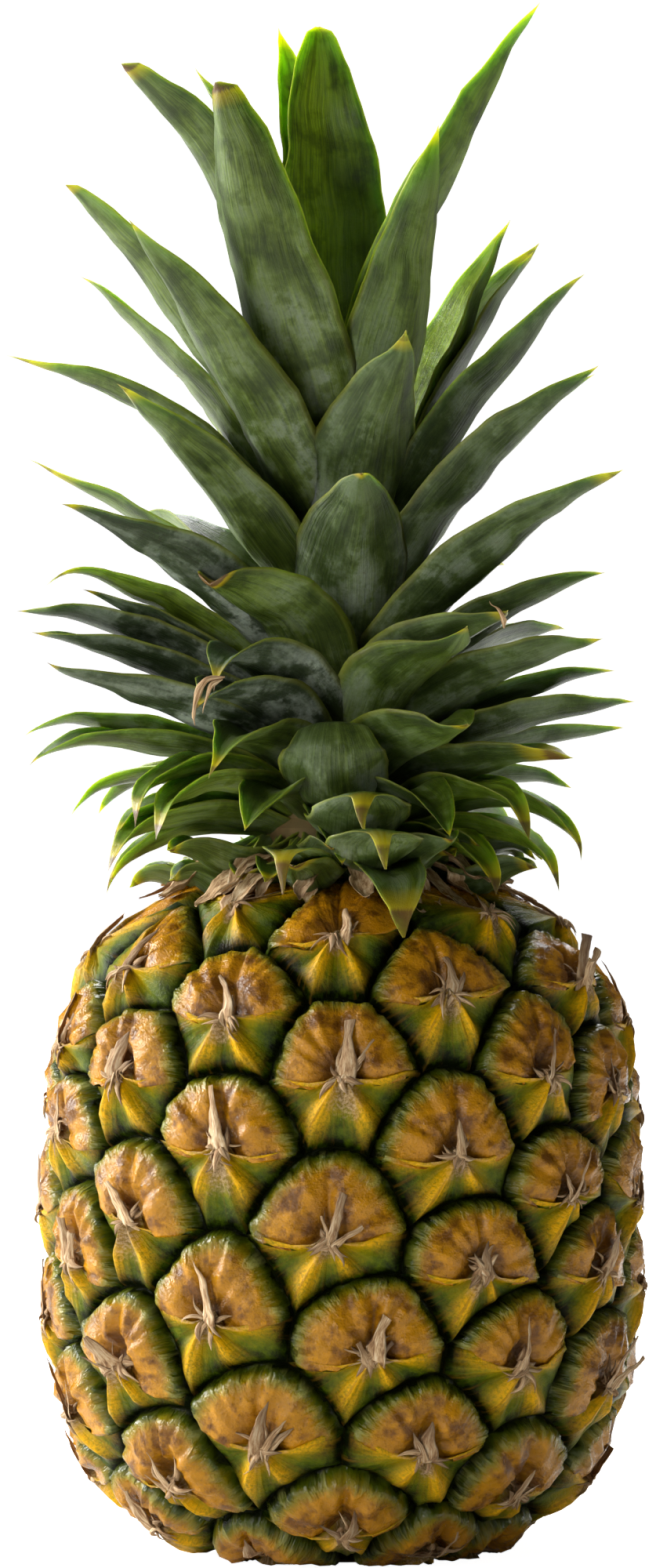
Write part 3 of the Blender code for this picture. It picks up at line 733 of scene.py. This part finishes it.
def leaf_through(azimuth, knots, width, widths, dry=0.1, tone=0.5, fresh=0.3, cups=(1, 1)):
    """A leaf whose middle line runs through knots of (reach, height), with widths and cups at even steps."""
    t = LEAF_SHARES
    flat = through(knots, t)
    turn = math.radians(azimuth)
    points = round_axis(turn, flat[:, 0], flat[:, 1])
    wide = width * MM * np.interp(t, np.linspace(0, 1, len(widths)), widths)
    side = np.array((math.cos(turn), math.sin(turn), 0))
    cup = np.interp(t, np.linspace(0, 1, len(cups)), cups)
    return finish_path(points, t, wide, side, dry, tone, fresh, cup)


def finish_path(points, t, wide, side, dry, tone, fresh, cup):
    length = np.concatenate([[0], np.cumsum(np.linalg.norm(np.diff(points, axis=0), axis=1))]) / MM
    return {
        "points": points,
        "wide": wide,
        "along": t,
        "grown": length,
        "dry": np.clip((t - (1 - dry)) / max(0.02, dry * 0.6), 0, 1),
        "tone": np.full(t.shape, tone),
        "fresh": np.full(t.shape, fresh),
        "cup": cup,
        "across": np.broadcast_to(side, points.shape),
    }


def leaf_path(
    azimuth, reach, tip_height, arch, width, blunt,
    hook=0.0, hook_from=0.8, dry=0.05, tone=0.5, narrow=0.0, fresh=0.3, cut=0.0,
):
    """A leaf's middle line from its root to its tip, its width, and how dry it is along the way.

    hook bends the end outwards by so many degrees. cut is the share of the width that is left where the
    end has dried and broken off.
    """
    root_z = CROWN_FOOT + ROOT_LIFT + ROOT_SHARE * max(0.0, tip_height * MM - CROWN_FOOT)
    turn = math.radians(azimuth)
    out = Vector((math.sin(turn), -math.cos(turn), 0))
    side = Vector((math.cos(turn), math.sin(turn), 0))
    root = out * (stem_radius(root_z) - ROOT_SINK) + Vector((0, 0, root_z))
    tip = out * reach * MM + Vector((0, 0, tip_height * MM))
    chord = tip - root
    rise = math.atan2(chord.z, chord.xy.length * (1 if chord.dot(out) > 0 else -1)) + math.radians(arch)
    rising = out * math.cos(rise) + Vector((0, 0, math.sin(rise)))
    bend = root + rising * chord.length * (0.5 + max(0, arch) / 200)
    t = LEAF_SHARES
    points = np.outer((1 - t) ** 2, root) + np.outer(2 * t * (1 - t), bend) + np.outer(t * t, tip)
    late = np.clip((t - hook_from) / (1 - hook_from), 0, 1)
    if hook:
        steps = np.diff(points, axis=0)
        for k, step in enumerate(steps):
            steps[k] = Matrix.Rotation(math.radians(hook) * late[k + 1], 3, side) @ Vector(step)
        points = np.vstack([points[:1], points[0] + np.cumsum(steps, axis=0)])
    wide = width * MM * np.maximum(cut + (1 - cut) * blade_width(t, blunt), 0.012)
    ending = 0.975 if cut else 0.94
    wide = wide * np.sqrt(np.clip(1 - (np.clip(t - ending, 0, 1) / (1.0005 - ending)) ** 2, 0.012, 1))
    wide = wide * (1 - narrow * late**0.7)
    cup = 1 - 0.8 * late * min(1, abs(hook) / 30)
    return finish_path(points, t, wide, np.array(side), dry, tone, fresh, cup)


# Short leaves that stand up like cups in front and turn only their tips out. Each has its width, its knots
# of (reach, height), its widths and cups at even steps, and how much of it is dry
CUPPED_LEAVES = {
    3: (
        16, ((13, 139), (28, 135), (40, 134), (46, 130), (49, 122.5)),
        (0.8, 1.0, 0.85, 0.5, 0.03), (1, 1, 0.6, 0.3, 0), 0.35,
    ),
    4: (
        13, ((13, 139), (30, 135), (40, 138.5), (44, 138), (47, 131)),
        (0.8, 1.0, 0.9, 0.3, 0.03), (1, 1, 0.4, 0, -0.3), 0.4,
    ),
    5: (
        19, ((13, 139), (32, 136), (43, 141), (47, 143), (50, 136.5)),
        (0.8, 1.0, 0.95, 0.24, 0.02), (1, 1, 0.2, -0.2, -0.3), 0.3,
    ),
    6: (
        20, ((13, 141), (30, 141), (40, 147.5), (44, 150), (48, 143.5)),
        (0.8, 1.0, 0.95, 0.24, 0.02), (1, 1, 0.2, -0.2, -0.3), 0.3,
    ),
    7: (
        22, ((13, 146), (26, 148), (32, 154), (34, 159.5), (31.5, 163), (28, 163.8)),
        (0.8, 0.95, 1.0, 0.92, 0.62, 0.22), (1, 1, 0.8, 0.4, 0, 0), 0.04,
    ),
}
# How single leaves in view end, by their place in the list above
LEAF_ENDS = {
    8: dict(hook=25, dry=0.16, narrow=0.75, hook_from=0.7), 9: dict(hook=-30, dry=0.08, fresh=0.4),
    10: dict(hook=20, narrow=0.4, dry=0.1, fresh=-0.8), 20: dict(fresh=-0.6), 29: dict(fresh=-0.8),
    30: dict(fresh=-0.8), 31: dict(fresh=-0.8), 32: dict(fresh=-0.9),
    11: dict(hook=75, hook_from=0.75, dry=0.16, narrow=0.95, fresh=-0.8), 12: dict(dry=0.1, hook=-20),
    13: dict(fresh=0.5, hook=-60, hook_from=0.75, dry=0.05), 14: dict(dry=0.06, cut=0.28),
    15: dict(dry=0.06, fresh=0.2), 16: dict(dry=0.08, hook=-25), 17: dict(dry=0.05, fresh=0.6),
    21: dict(dry=0.05, fresh=0.35, cut=0.28), 60: dict(fresh=1.0, cut=0.24, dry=0.02), 61: dict(fresh=1.0),
    41: dict(fresh=0.9), 43: dict(fresh=0.8), 22: dict(dry=0.045, cut=0.24), 24: dict(dry=0.03, cut=0.2),
    18: dict(dry=0.04), 19: dict(dry=0.1, narrow=0.3), 26: dict(dry=0.14, narrow=0.5),
    27: dict(dry=0.2, narrow=0.5), 28: dict(hook=55, dry=0.15, fresh=0.6), 33: dict(hook=25),
    34: dict(hook=30), 35: dict(hook=40, fresh=0.55), 36: dict(hook=45, fresh=0.55, dry=0.14),
    37: dict(hook=45, fresh=0.55, dry=0.14), 38: dict(hook=35, fresh=0.55, dry=0.14),
    39: dict(hook=35, fresh=0.55, dry=0.16), 40: dict(hook=35, fresh=0.55, dry=0.2), 47: dict(dry=0.1),
    53: dict(dry=0.3), 55: dict(hook=35, dry=0.2, fresh=0.8), 56: dict(hook=45, dry=0.2, fresh=0.8),
    57: dict(hook=35, dry=0.2, fresh=0.9), 58: dict(hook=35, dry=0.25, fresh=0.9),
}


def crown_leaves():
    rng = random.Random(LEAF_SEED)
    paths = []
    for n, leaf in enumerate(LEAVES_IN_VIEW):
        if n in CUPPED_LEAVES:
            width, knots, widths, cups, dry = CUPPED_LEAVES[n]
            paths.append(leaf_through(leaf[0], knots, width, widths, dry=dry, tone=rng.random(), cups=cups))
            continue
        ends = LEAF_ENDS.get(n, {})
        paths.append(leaf_path(*leaf, **{"dry": rng.uniform(0.03, 0.07), "tone": rng.random(), **ends}))
    for k in range(HIDDEN_LEAVES):
        share = k / (HIDDEN_LEAVES - 1)
        azimuth = HIDDEN_FROM + HIDDEN_SPREAD * (k * HIDDEN_TURN % 1)
        reach, arch, width = (a + (b - a) * share for a, b in (HIDDEN_REACH, HIDDEN_ARCH, HIDDEN_WIDTH))
        height = HIDDEN_TOP + (HIDDEN_LOW - HIDDEN_TOP) * share**HIDDEN_CROWDING
        paths.append(leaf_path(
            azimuth, reach, height, arch, width, 2.0,
            hook=rng.uniform(0, 25), dry=rng.uniform(0.04, 0.14), tone=rng.random(),
        ))
    # short ones that close the crown round its foot
    for k in range(LOW_LEAVES):
        azimuth = (k + rng.uniform(-0.3, 0.3)) * 360 / LOW_LEAVES
        reach, top = rng.uniform(27, 38), rng.uniform(133, 141)
        knots = ((12, 139), (reach * 0.7, top - 4), (reach, top), (reach + 5, top + rng.uniform(-3, 2)))
        paths.append(leaf_through(
            azimuth, knots, rng.uniform(13, 18), (0.9, 1.0, 0.7, 0.02),
            dry=rng.uniform(0.1, 0.3), tone=rng.random(),
        ))
    return paths


def neck_scales():
    """The lowest, dry scales, lying out over the fruit's shoulder in two loose turns."""
    rng = random.Random(SCALE_SEED)
    paths = []
    for k in range(NECK_SCALES):
        azimuth = (k + rng.uniform(-0.4, 0.4)) * 720 / NECK_SCALES
        reach, lift = rng.uniform(33, 42), rng.uniform(0.8, 5.0)
        paths.append(leaf_through(
            azimuth + rng.uniform(-6, 6),
            (
                (17, 137), (27, 132.5 + lift), (reach - 5, 139.5 - reach * 0.29 + lift),
                (reach, 139.5 - reach * 0.34 + lift),
            ),
            rng.uniform(3.0, 7.5), (0.9, 1.0, 0.7, rng.uniform(0.05, 0.3)), dry=1.0, tone=rng.random() ** 3,
        ))
    return paths


# Withered strips that hang from the ends of leaves in front: width, tone, knots of (x, y, z)
DRIED_ENDS = (
    (1.4, -0.6, ((-23, -38, 173), (-26.5, -38.6, 172.4), (-28.2, -38.3, 168.5), (-28.7, -37.5, 163))),
    (1.1, -0.8, ((-23, -38.4, 172.4), (-25.6, -38.8, 171), (-26.6, -38.5, 166.5))),
    (0.8, -0.6, ((31.5, -36, 182.5), (30.8, -36.3, 185), (28.6, -36.5, 187.8))),
)


def unit(rows):
    return rows / np.linalg.norm(rows, axis=1, keepdims=True)


def dried_ends():
    paths = []
    for width, tone, knots in DRIED_ENDS:
        t = np.linspace(0, 1, 16)
        points = through(knots, t)
        wide = width * MM * np.interp(t, (0, 0.25, 0.6, 1), (0.2, 1.0, 0.8, 0.1))
        across = unit(np.cross(np.gradient(points, axis=0), (0, -1, 0)))
        paths.append(finish_path(points, t, wide, across, 1.0, tone, 0.0, np.ones(16)))
    return paths


def path_on_eye(place, x, y, lift, wide, dry, tone, roll):
    """A path over one eye, from millimetres round its heart."""
    scale = read("r", place[1]) / MM
    az, mh = place[0] + x / scale, place[1] + y / scale
    points = skin_points(az, mh, lift)
    points[:, 2] = np.maximum(points[:, 2], TIP_FLOOR)
    along = unit(np.gradient(points, axis=0))
    across = unit(np.cross(along, outward(az, mh)))
    across = across * math.cos(roll) + np.cross(across, along) * math.sin(roll)
    t = np.linspace(0, 1, len(x))
    return finish_path(points, t, wide * MM, across, dry, tone, 0.0, np.ones(t.shape))


def dry_tips(places):
    """The papery tip of each bract, from its lip up over the pad."""
    rng = random.Random(TIP_SEED)
    top = OUTLINE["map"][-1]
    paths = []
    for number, place in places.items():
        scale = read("r", place[1]) / MM
        sideways = rng.uniform(-3.0, 3.0)
        standoff = RAISED_TIPS.get(number, rng.uniform(1.2, 2.6))
        more = random.Random(SHRED_SEEDS + number)
        length = min(more.uniform(5.0, 12.5), (top - place[1]) * scale - 4)
        t = np.linspace(0, 1, 12)
        bow = more.uniform(-1.5, 1.5)
        x = sideways * t**1.5 * length / 9 + bow * np.sin(math.pi * t)
        y = -2.6 + (length + 2.6) * t
        lift = np.interp(t, (0, 0.2, 0.45, 1), (0.5, 2.3, 1.9 + standoff * 0.25, standoff))
        lift += more.uniform(0, 0.8) * t**3
        blunt = more.choice((0.03, 0.08, 0.2, 0.5))
        wide = more.uniform(2.2, 6.0) * np.interp(
            t, (0, 0.2, 0.4, 0.75, 1), (0.9, 1.0, more.uniform(0.5, 0.9), more.uniform(0.25, 0.6), blunt)
        )
        tone = more.random()
        paths.append(path_on_eye(place, x, y, lift, wide, more.random(), tone, more.uniform(-0.7, 0.7)))
        # shreds that split off it and lie down to either side
        for _ in range(more.choice((0, 1, 1, 2))):
            lean, share = more.choice((-1, 1)) * more.uniform(0.5, 1.2), more.uniform(0.45, 0.85)
            paths.append(path_on_eye(
                place, x * share + lean * length * share * t**1.3, -2.6 + (y + 2.6) * share * 0.9,
                lift * 0.8 + 0.3, wide * more.uniform(0.35, 0.7), 1.0, more.random(), more.uniform(-0.8, 0.8),
            ))
    return paths


def withered_threads(places):
    """What is left of each eye's blossom: curled papery threads round its heart."""
    paths = []
    for number, place in places.items():
        rng = random.Random(THREAD_SEEDS + number)
        for _ in range(THREADS_PER_EYE):
            angle = math.radians(rng.choice((rng.uniform(-40, 220), rng.uniform(190, 350))))
            length, curl = rng.uniform(2.0, 6.0), rng.uniform(-1.6, 1.6)
            t = np.linspace(0, 1, 9)
            turn = angle + curl * t
            step = length / 8
            x = rng.uniform(-1, 1) + np.concatenate([[0], np.cumsum(np.cos(turn[1:]) * step)])
            y = rng.uniform(-1.2, 0.8) + np.concatenate([[0], np.cumsum(np.sin(turn[1:]) * step)])
            low = 1.4 if y[-1] < 0 else 0.6
            lift = low + rng.uniform(0.4, 1.2) * np.sin(math.pi * t) + rng.uniform(0, 1.0) * t
            wide = rng.uniform(0.5, 1.9) * (1 - t**2) + 0.08
            paths.append(path_on_eye(place, x, y, lift, wide, rng.random(), rng.random(), rng.uniform(-1, 1)))
    return paths


def stem_mesh():
    """The short stem that carries the leaves, with a ridge at each turn of leaf scars."""
    levels, sides = 40, 36
    mesh = bpy.data.meshes.new("crown_stem")
    z = np.linspace(CROWN_FOOT, CROWN_FOOT + STEM_HEIGHT, levels)
    radius = np.array([stem_radius(h) for h in z]) + 0.5 * MM * np.sin(np.arange(levels) * 2.1)
    turn = np.linspace(0, 2 * math.pi, sides, endpoint=False)
    points = round_axis(turn, radius[:, None], np.repeat(z[:, None], sides, axis=1)).reshape(-1, 3)
    faces = []
    for k in range(levels - 1):
        for j in range(sides):
            n = (j + 1) % sides
            faces.append((k * sides + j, k * sides + n, (k + 1) * sides + n, (k + 1) * sides + j))
    faces.append(tuple(range(sides))[::-1])
    faces.append(tuple(range((levels - 1) * sides, levels * sides)))
    mesh.from_pydata(points, [], faces)
    return mesh


def new_finish(name):
    finish = bpy.data.materials.new(name)
    finish.use_nodes = True
    return finish, Net(finish.node_tree)


def dress(finish, net, values):
    """Gives a finish its colour, relief and the rest, by the names of the shader's sockets."""
    shader = net.tree.nodes["Principled BSDF"]
    for name, value in values.items():
        net.put(shader.inputs[name], value)
    return finish


def pad_finish():
    """Waxy living rind, grown and never polished: ochre flesh tones that turn green towards each rim, then
    near black as painted shade in the grooves.

    The eye gets soft broad gloss, fine pores, brown flecks and pale ticks of painted highlight on the crests
    of the rim's pleats.
    """
    finish, net = new_finish("waxy pineapple rind")
    place = net.add("ShaderNodeAttribute", out="Vector", attribute_name="eye_place")
    rim, around, cup = net.fields("rim", "around", "dry")
    patches = net.noise(place, 0.22, 4.0, 0.6)
    blotches = net.noise(place, 0.55, 3.0)
    pores = net.noise(place, 2.2, 3.0, 0.7)
    inside = net.remap(rim, 0.88, 0.74)
    # the rim's place wanders by a tenth of the pad
    wander = net.plus(net.times_plus(patches, 0.22, rim), -0.11)
    # dark olive at the rim is the rind's own colour; the last stop, near black where the rim meets the
    # groove, is painted shade in the grooves between eyes
    flesh = net.ramp(wander, (
        (0.0, "#5a3808"), (0.25, "#946004"), (0.50, "#b27806"), (0.74, "#a87404"), (0.85, "#7c6c06"),
        (0.93, "#3c4604"), (0.99, "#0c1002"),
    ))
    # uneven pleats round parts of the rim; the attribute counts 12 mm to the radian
    turns = net.xyz(around, net.times(rim, 5.0), patches)
    pleat = net.remap(net.noise(turns, 0.8, 2.0), 0.36, 0.64, -1.0, 1.0)
    band = net.times(net.remap(rim, 0.70, 0.86), net.remap(rim, 0.99, 0.92))
    pleat = net.times(pleat, net.times(band, net.remap(patches, 0.40, 0.55, 0.15, 1.0)))
    colour = net.layers(
        flesh,
        (net.times(net.remap(blotches, 0.5, 0.7, 0.0, 0.75), inside), "#c88a0c"),
        (net.times(net.remap(patches, 0.52, 0.38, 0.0, 0.8), inside), "#522a04"),
        (net.times(net.remap(pores, 0.60, 0.72, 0.0, 0.75), inside), "#43260c"),
        # painted highlight: pale ticks on the raised crests of the pleats, where glints would fall
        (net.times(pleat, 0.4, clamp=True), "#a6a65c"),
        (net.times(cup, 0.65), "#74512a"),
    )
    level = net.times_plus(pleat, 0.8, net.times_plus(blotches, 1.2, net.times(pores, 0.35)))
    return dress(finish, net, {
        "Base Color": colour,
        "Roughness": net.remap(blotches, 0.3, 0.7, 0.34, 0.14),
        "Specular IOR Level": net.remap(rim, 0.985, 0.93, 0.03, 0.3),
        "Normal": net.bump(level, 0.7, 0.5),
    })


def bract_finish():
    """The tough bract below each eye: green fibres, yellow along its ridges and dried beige at its heart.

    The eye gets satin green that falls to dark green towards the grooves and to near black in them as painted
    shade, with fine lines running from the heart.
    """
    finish, net = new_finish("fibrous green bract")
    place = net.add("ShaderNodeAttribute", out="Vector", attribute_name="eye_place")
    share, ridge, dried, around = net.fields("share", "ridge", "dry", "around")
    patches = net.noise(place, 0.3, 5.0, 0.7)
    grain = net.noise(place, 1.8, 3.0, 0.7)
    # lines that run out from the heart, about 0.8 mm apart
    lines = net.noise(net.xyz(around, share, patches), 1.2, 2.0)
    wander = net.plus(net.times_plus(patches, 0.9, share), -0.45)
    # dark green towards the groove is the bract's own colour; the last stop, near black at the groove, is
    # painted shade in the grooves between eyes
    green = net.ramp(wander, (
        (0.0, "#a88404"), (0.26, "#988002"), (0.46, "#767202"), (0.66, "#4c5a02"), (0.84, "#283602"),
        (0.95, "#0a1002"),
    ))
    gold = net.times(ridge, lines, net.remap(grain, 0.38, 0.55, 0.5, 1.1))
    gold = net.times(gold, net.remap(share, 0.93, 0.6, 0.0, 2.0), clamp=True)
    withered = net.remap(net.times(dried, grain, patches), 0.06, 0.22, 0.0, 0.9)
    husk = net.mix(net.remap(grain, 0.36, 0.64), "#5a3c1e", "#bda37c")
    streak = net.remap(lines, 0.58, 0.72, 0.0, 0.5)
    return dress(finish, net, {
        "Base Color": net.layers(green, (gold, "#dca400"), (streak, "#6b4d12"), (withered, husk)),
        "Roughness": net.remap(withered, 0.0, 1.0, 0.42, 0.8),
        "Specular IOR Level": net.remap(share, 0.94, 0.8, 0.03, 0.14),
        "Normal": net.bump(net.plus(lines, grain), 0.6, 0.4),
    })


def leaf_finish():
    """A living leaf under a thin whitish bloom, striped lengthwise, with pale margins and a scorched tip.

    The eye gets a dull grey-green outer face with rubbed and mealy patches, a greener inner face, and ends
    that turn yellow and then brown.
    """
    finish, net = new_finish("bloomed pineapple leaf")
    along, grown, edge, inner = net.fields("along", "grown", "edge", "inner")
    tone, fresh, dried, wide = net.fields("tone", "fresh", "dry", "wide")
    where = net.add("ShaderNodeTexCoord", out="Object")
    ends, sides, far = net.times(grown, 0.035), net.times(edge, 11.0), net.times(tone, 60.0)
    # stripes of about half a millimetre on a broad blade, which fade where the blade narrows
    stripes = net.noise(net.xyz(sides, ends, far), 2.0, 3.0, 0.7)
    stripes = net.times_plus(net.plus(stripes, -0.5), net.remap(wide, 2 * MM, 12 * MM), 0.5)
    striped = net.remap(stripes, 0.24, 0.76)
    clouds = net.noise(net.xyz(edge, ends, far), 2.2, 4.0)
    # meal in grains of about 1 mm, and blots of about 7 mm where handling rubbed it off
    meal = net.noise(where, 1000.0, 4.0, 0.7)
    blots = net.noise(where, 140.0, 5.0, 0.65)
    faces = net.mix(
        net.remap(inner, -0.04, 0.04),
        net.mix(striped, "#212b10", "#475538"), net.mix(striped, "#182709", "#324813"),
    )
    lush = net.mix(net.times(striped, net.remap(edge, -0.35, 0.3, 0.35, 1.0)), "#4a660a", "#b0cc18")
    bloom = net.remap(net.times_plus(meal, 0.35, clouds), 0.57, 0.88, 0.0, 0.8)
    bloom = net.times(
        bloom, net.remap(blots, 0.46, 0.56, 1.0, 0.15), net.remap(along, 0.75, 0.35, 0.3, 1.0),
        net.times_plus(fresh, -0.75, 1.0),
    )
    # thin brown scars that run lengthwise
    scar = net.remap(net.noise(net.xyz(sides, grown, far), 0.22, 5.0, 0.75), 0.66, 0.74, 0.0, 0.8)
    margin = net.remap(net.math("ABSOLUTE", edge), 0.92, 0.99, 0.0, 0.75)
    ragged = net.times_plus(stripes, 0.9, dried)
    colour = net.layers(
        faces,
        (fresh, lush),
        (bloom, "#a0aa98"),
        (net.remap(blots, 0.50, 0.66, 0.0, 0.55), "#1c2a0e"),
        (net.remap(clouds, 0.52, 0.36, 0.0, 0.6), "#18240a"),
        (net.remap(along, 0.22, 0.05, 0.0, 0.6), "#59662a"),
        (scar, "#4d3a20"),
        (margin, net.mix(blots, "#8d9a30", "#4e3c18")),
        (net.times(net.remap(ragged, 0.45, 0.75), dried, clamp=True), "#a8930c"),
        (net.remap(ragged, 1.26, 1.42), net.mix(blots, "#7c5a2a", "#28180a")),
    )
    level = net.times_plus(blots, 1.5, net.times_plus(meal, 0.35, stripes))
    # thin living blades let light through, the young ones most
    return dress(finish, net, {
        "Base Color": colour,
        "Roughness": net.remap(bloom, 0.0, 0.5, 0.36, 0.62),
        "Specular IOR Level": 0.3,
        "Normal": net.bump(level, 0.6, 0.35),
        "Subsurface Weight": net.remap(fresh, -1.0, 1.0, 0.15, 0.7),
        "Subsurface Radius": (0.7, 1.0, 0.15),
        "Subsurface Scale": 2.5 * MM,
    })


def paper_finish():
    """Dead papery husk, dried on the plant: tan fibres, darker towards each end.

    The eye gets a dry matt surface with lengthwise fibres, some nearly white and some burnt brown.
    """
    finish, net = new_finish("dry papery husk")
    along, grown, edge, tone = net.fields("along", "grown", "edge", "tone")
    strip = net.xyz(net.times(edge, 2.2), net.times(grown, 0.18), net.times(tone, 90.0))
    fibres = net.noise(strip, 1.6, 4.0, 0.7)
    tan = net.ramp(fibres, ((0.28, "#5a3c22"), (0.42, "#9a744c"), (0.52, "#c8a67a"), (0.66, "#e6d2ae")))
    burnt = net.times(net.remap(along, 0.5, 1.0, 0.0, 0.8), tone)
    return dress(finish, net, {
        "Base Color": net.layers(tan, (net.times(tone, 0.5), "#6b4a2a"), (burnt, "#3c2412")),
        "Roughness": 0.78,
        "Normal": net.bump(fibres, 0.7, 0.3),
    })


def stem_finish():
    """The leafless core of the crown: pale green flesh, browned where old leaves came away.

    The eye only meets it as a dim tan and green ground between the leaf roots.
    """
    finish, net = new_finish("scarred crown stem")
    clouds = net.noise(net.add("ShaderNodeTexCoord", out="Object"), 220.0, 4.0)
    return dress(finish, net, {
        "Base Color": net.mix(clouds, "#4a4a22", "#8a6a40"),
        "Roughness": 0.8,
        "Normal": net.bump(clouds, 0.6, 0.5),
    })


def stalk_finish():
    """The sawn end of the dried stalk: pale fibres end on, browned by drying."""
    finish, net = new_finish("sawn dry stalk")
    where = net.add("ShaderNodeTexCoord", out="Object")
    fibres = net.add("ShaderNodeTexVoronoi", {"Vector": where, "Scale": 900.0}, out="Distance")
    clouds = net.noise(where, 160.0, 4.0)
    return dress(finish, net, {
        "Base Color": net.mix(clouds, net.mix(fibres, "#8a6136", "#cdb083"), "#7a5630"),
        "Roughness": 0.85,
        "Normal": net.bump(fibres, 0.6, 0.4),
    })


rind, bract_skin, leaf_skin, husk = pad_finish(), bract_finish(), leaf_finish(), paper_finish()
places = eye_places()
blade = blade_tree()

raw_skin = skin_mesh(places)
raw_skin.materials.append(rind)
raw_skin.materials.append(bract_skin)
skin = grow("fruit_skin", raw_skin, relief_tree(), {
    "Lump size": 2.2, "Lump height": 2.2 * MM, "Pleat pitch": 2.0, "Pleat height": 0.22 * MM,
})
BLADE_INPUTS = (
    "Channel depth", "Keel power", "Thickness", "Faces around", "Wave length", "Wave height", "Finish",
)


def grow_blades(name, paths, *values):
    return grow(name, path_mesh(name, paths), blade, dict(zip(BLADE_INPUTS, values)))


tips = grow_blades("bract_tips", dry_tips(places), 0.16, 1.6, 0.07, 10, 3 * MM, 1.2 * MM, husk)
threads = grow_blades(
    "withered_threads", withered_threads(places), 0.3, 2.0, 0.35, 6, 3 * MM, 0.6 * MM, husk
)
leaves = grow_blades("crown_leaves", crown_leaves(), 0.30, 1.5, 0.14, 20, 13 * MM, 3.0 * MM, leaf_skin)
scales = grow_blades(
    "neck_scales", neck_scales() + dried_ends(), 0.25, 1.6, 0.08, 12, 5 * MM, 3.0 * MM, husk
)
for piece in (skin, tips, threads):
    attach(piece, "root")
stem = link_object("crown_stem", stem_mesh())
stem.data.materials.append(stem_finish())
for piece in (leaves, scales, stem):
    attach(piece, "root")
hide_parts("fruit")
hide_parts("crown")

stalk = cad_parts["cut_stalk"]
stalk.data.materials.clear()
stalk.data.materials.append(stalk_finish())

# The studio: a pale floor and pale far walls that look evenly lit from every side, and soft lamps

ROOM_HALF = 6.0
ROOM_HEIGHT = 6.0
ROOM_GLOW = 0.97
SKY_GLOW = 0.06
room_mesh = bpy.data.meshes.new("pale_room")
room_plan = ((-1, -1), (1, -1), (1, 1), (-1, 1))
room_mesh.from_pydata(
    [(x * ROOM_HALF, y * ROOM_HALF, z) for z in (0.0, ROOM_HEIGHT) for x, y in room_plan], [],
    [(0, 1, 2, 3)] + [(k, k + 4, (k + 1) % 4 + 4, (k + 1) % 4) for k in range(4)],
)
# the glow is there for the camera alone, and lights nothing
wall_finish, wall_net = new_finish("pale studio room")
seen = wall_net.add("ShaderNodeLightPath", out="Is Camera Ray")
dress(wall_finish, wall_net, {
    "Base Color": "#f4f4f2",
    "Roughness": 0.9,
    "Emission Color": "#ffffff",
    "Emission Strength": wall_net.times(seen, ROOM_GLOW),
})
wall_finish.cycles.emission_sampling = "NONE"
room_mesh.materials.append(wall_finish)
link_object("pale_room", room_mesh)

# Each lamp has its name, place, aim, size and watts
FRUIT_AND_CROWN = (0, 0, 0.14)
FLOOR_BEHIND = (0, 1.25, 0)
LIGHTS = (
    ("key", (-1.08, 0.24, 0.50), FRUIT_AND_CROWN, 0.5, 25.5),
    ("front", (-0.85, -1.00, 0.50), FRUIT_AND_CROWN, 0.45, 7.2),
    ("top", (-0.20, 0.30, 1.30), FRUIT_AND_CROWN, 0.5, 3),
    ("back", (0.0, 1.0, 1.25), FLOOR_BEHIND, 0.8, 45),
)
for name, at, aim, size, watts in LIGHTS:
    lamp = bpy.data.lights.new(name, "AREA")
    lamp.size = size
    lamp.energy = watts
    holder = link_object(name, lamp)
    holder.location = at
    holder.rotation_euler = (Vector(aim) - Vector(at)).to_track_quat("-Z", "Y").to_euler()

world = bpy.data.worlds.new("studio")
bpy.context.scene.world = world
world.use_nodes = True
sky = world.node_tree.nodes["Background"]
sky.inputs["Color"].default_value = linear("#ffffff")
sky.inputs["Strength"].default_value = SKY_GLOW
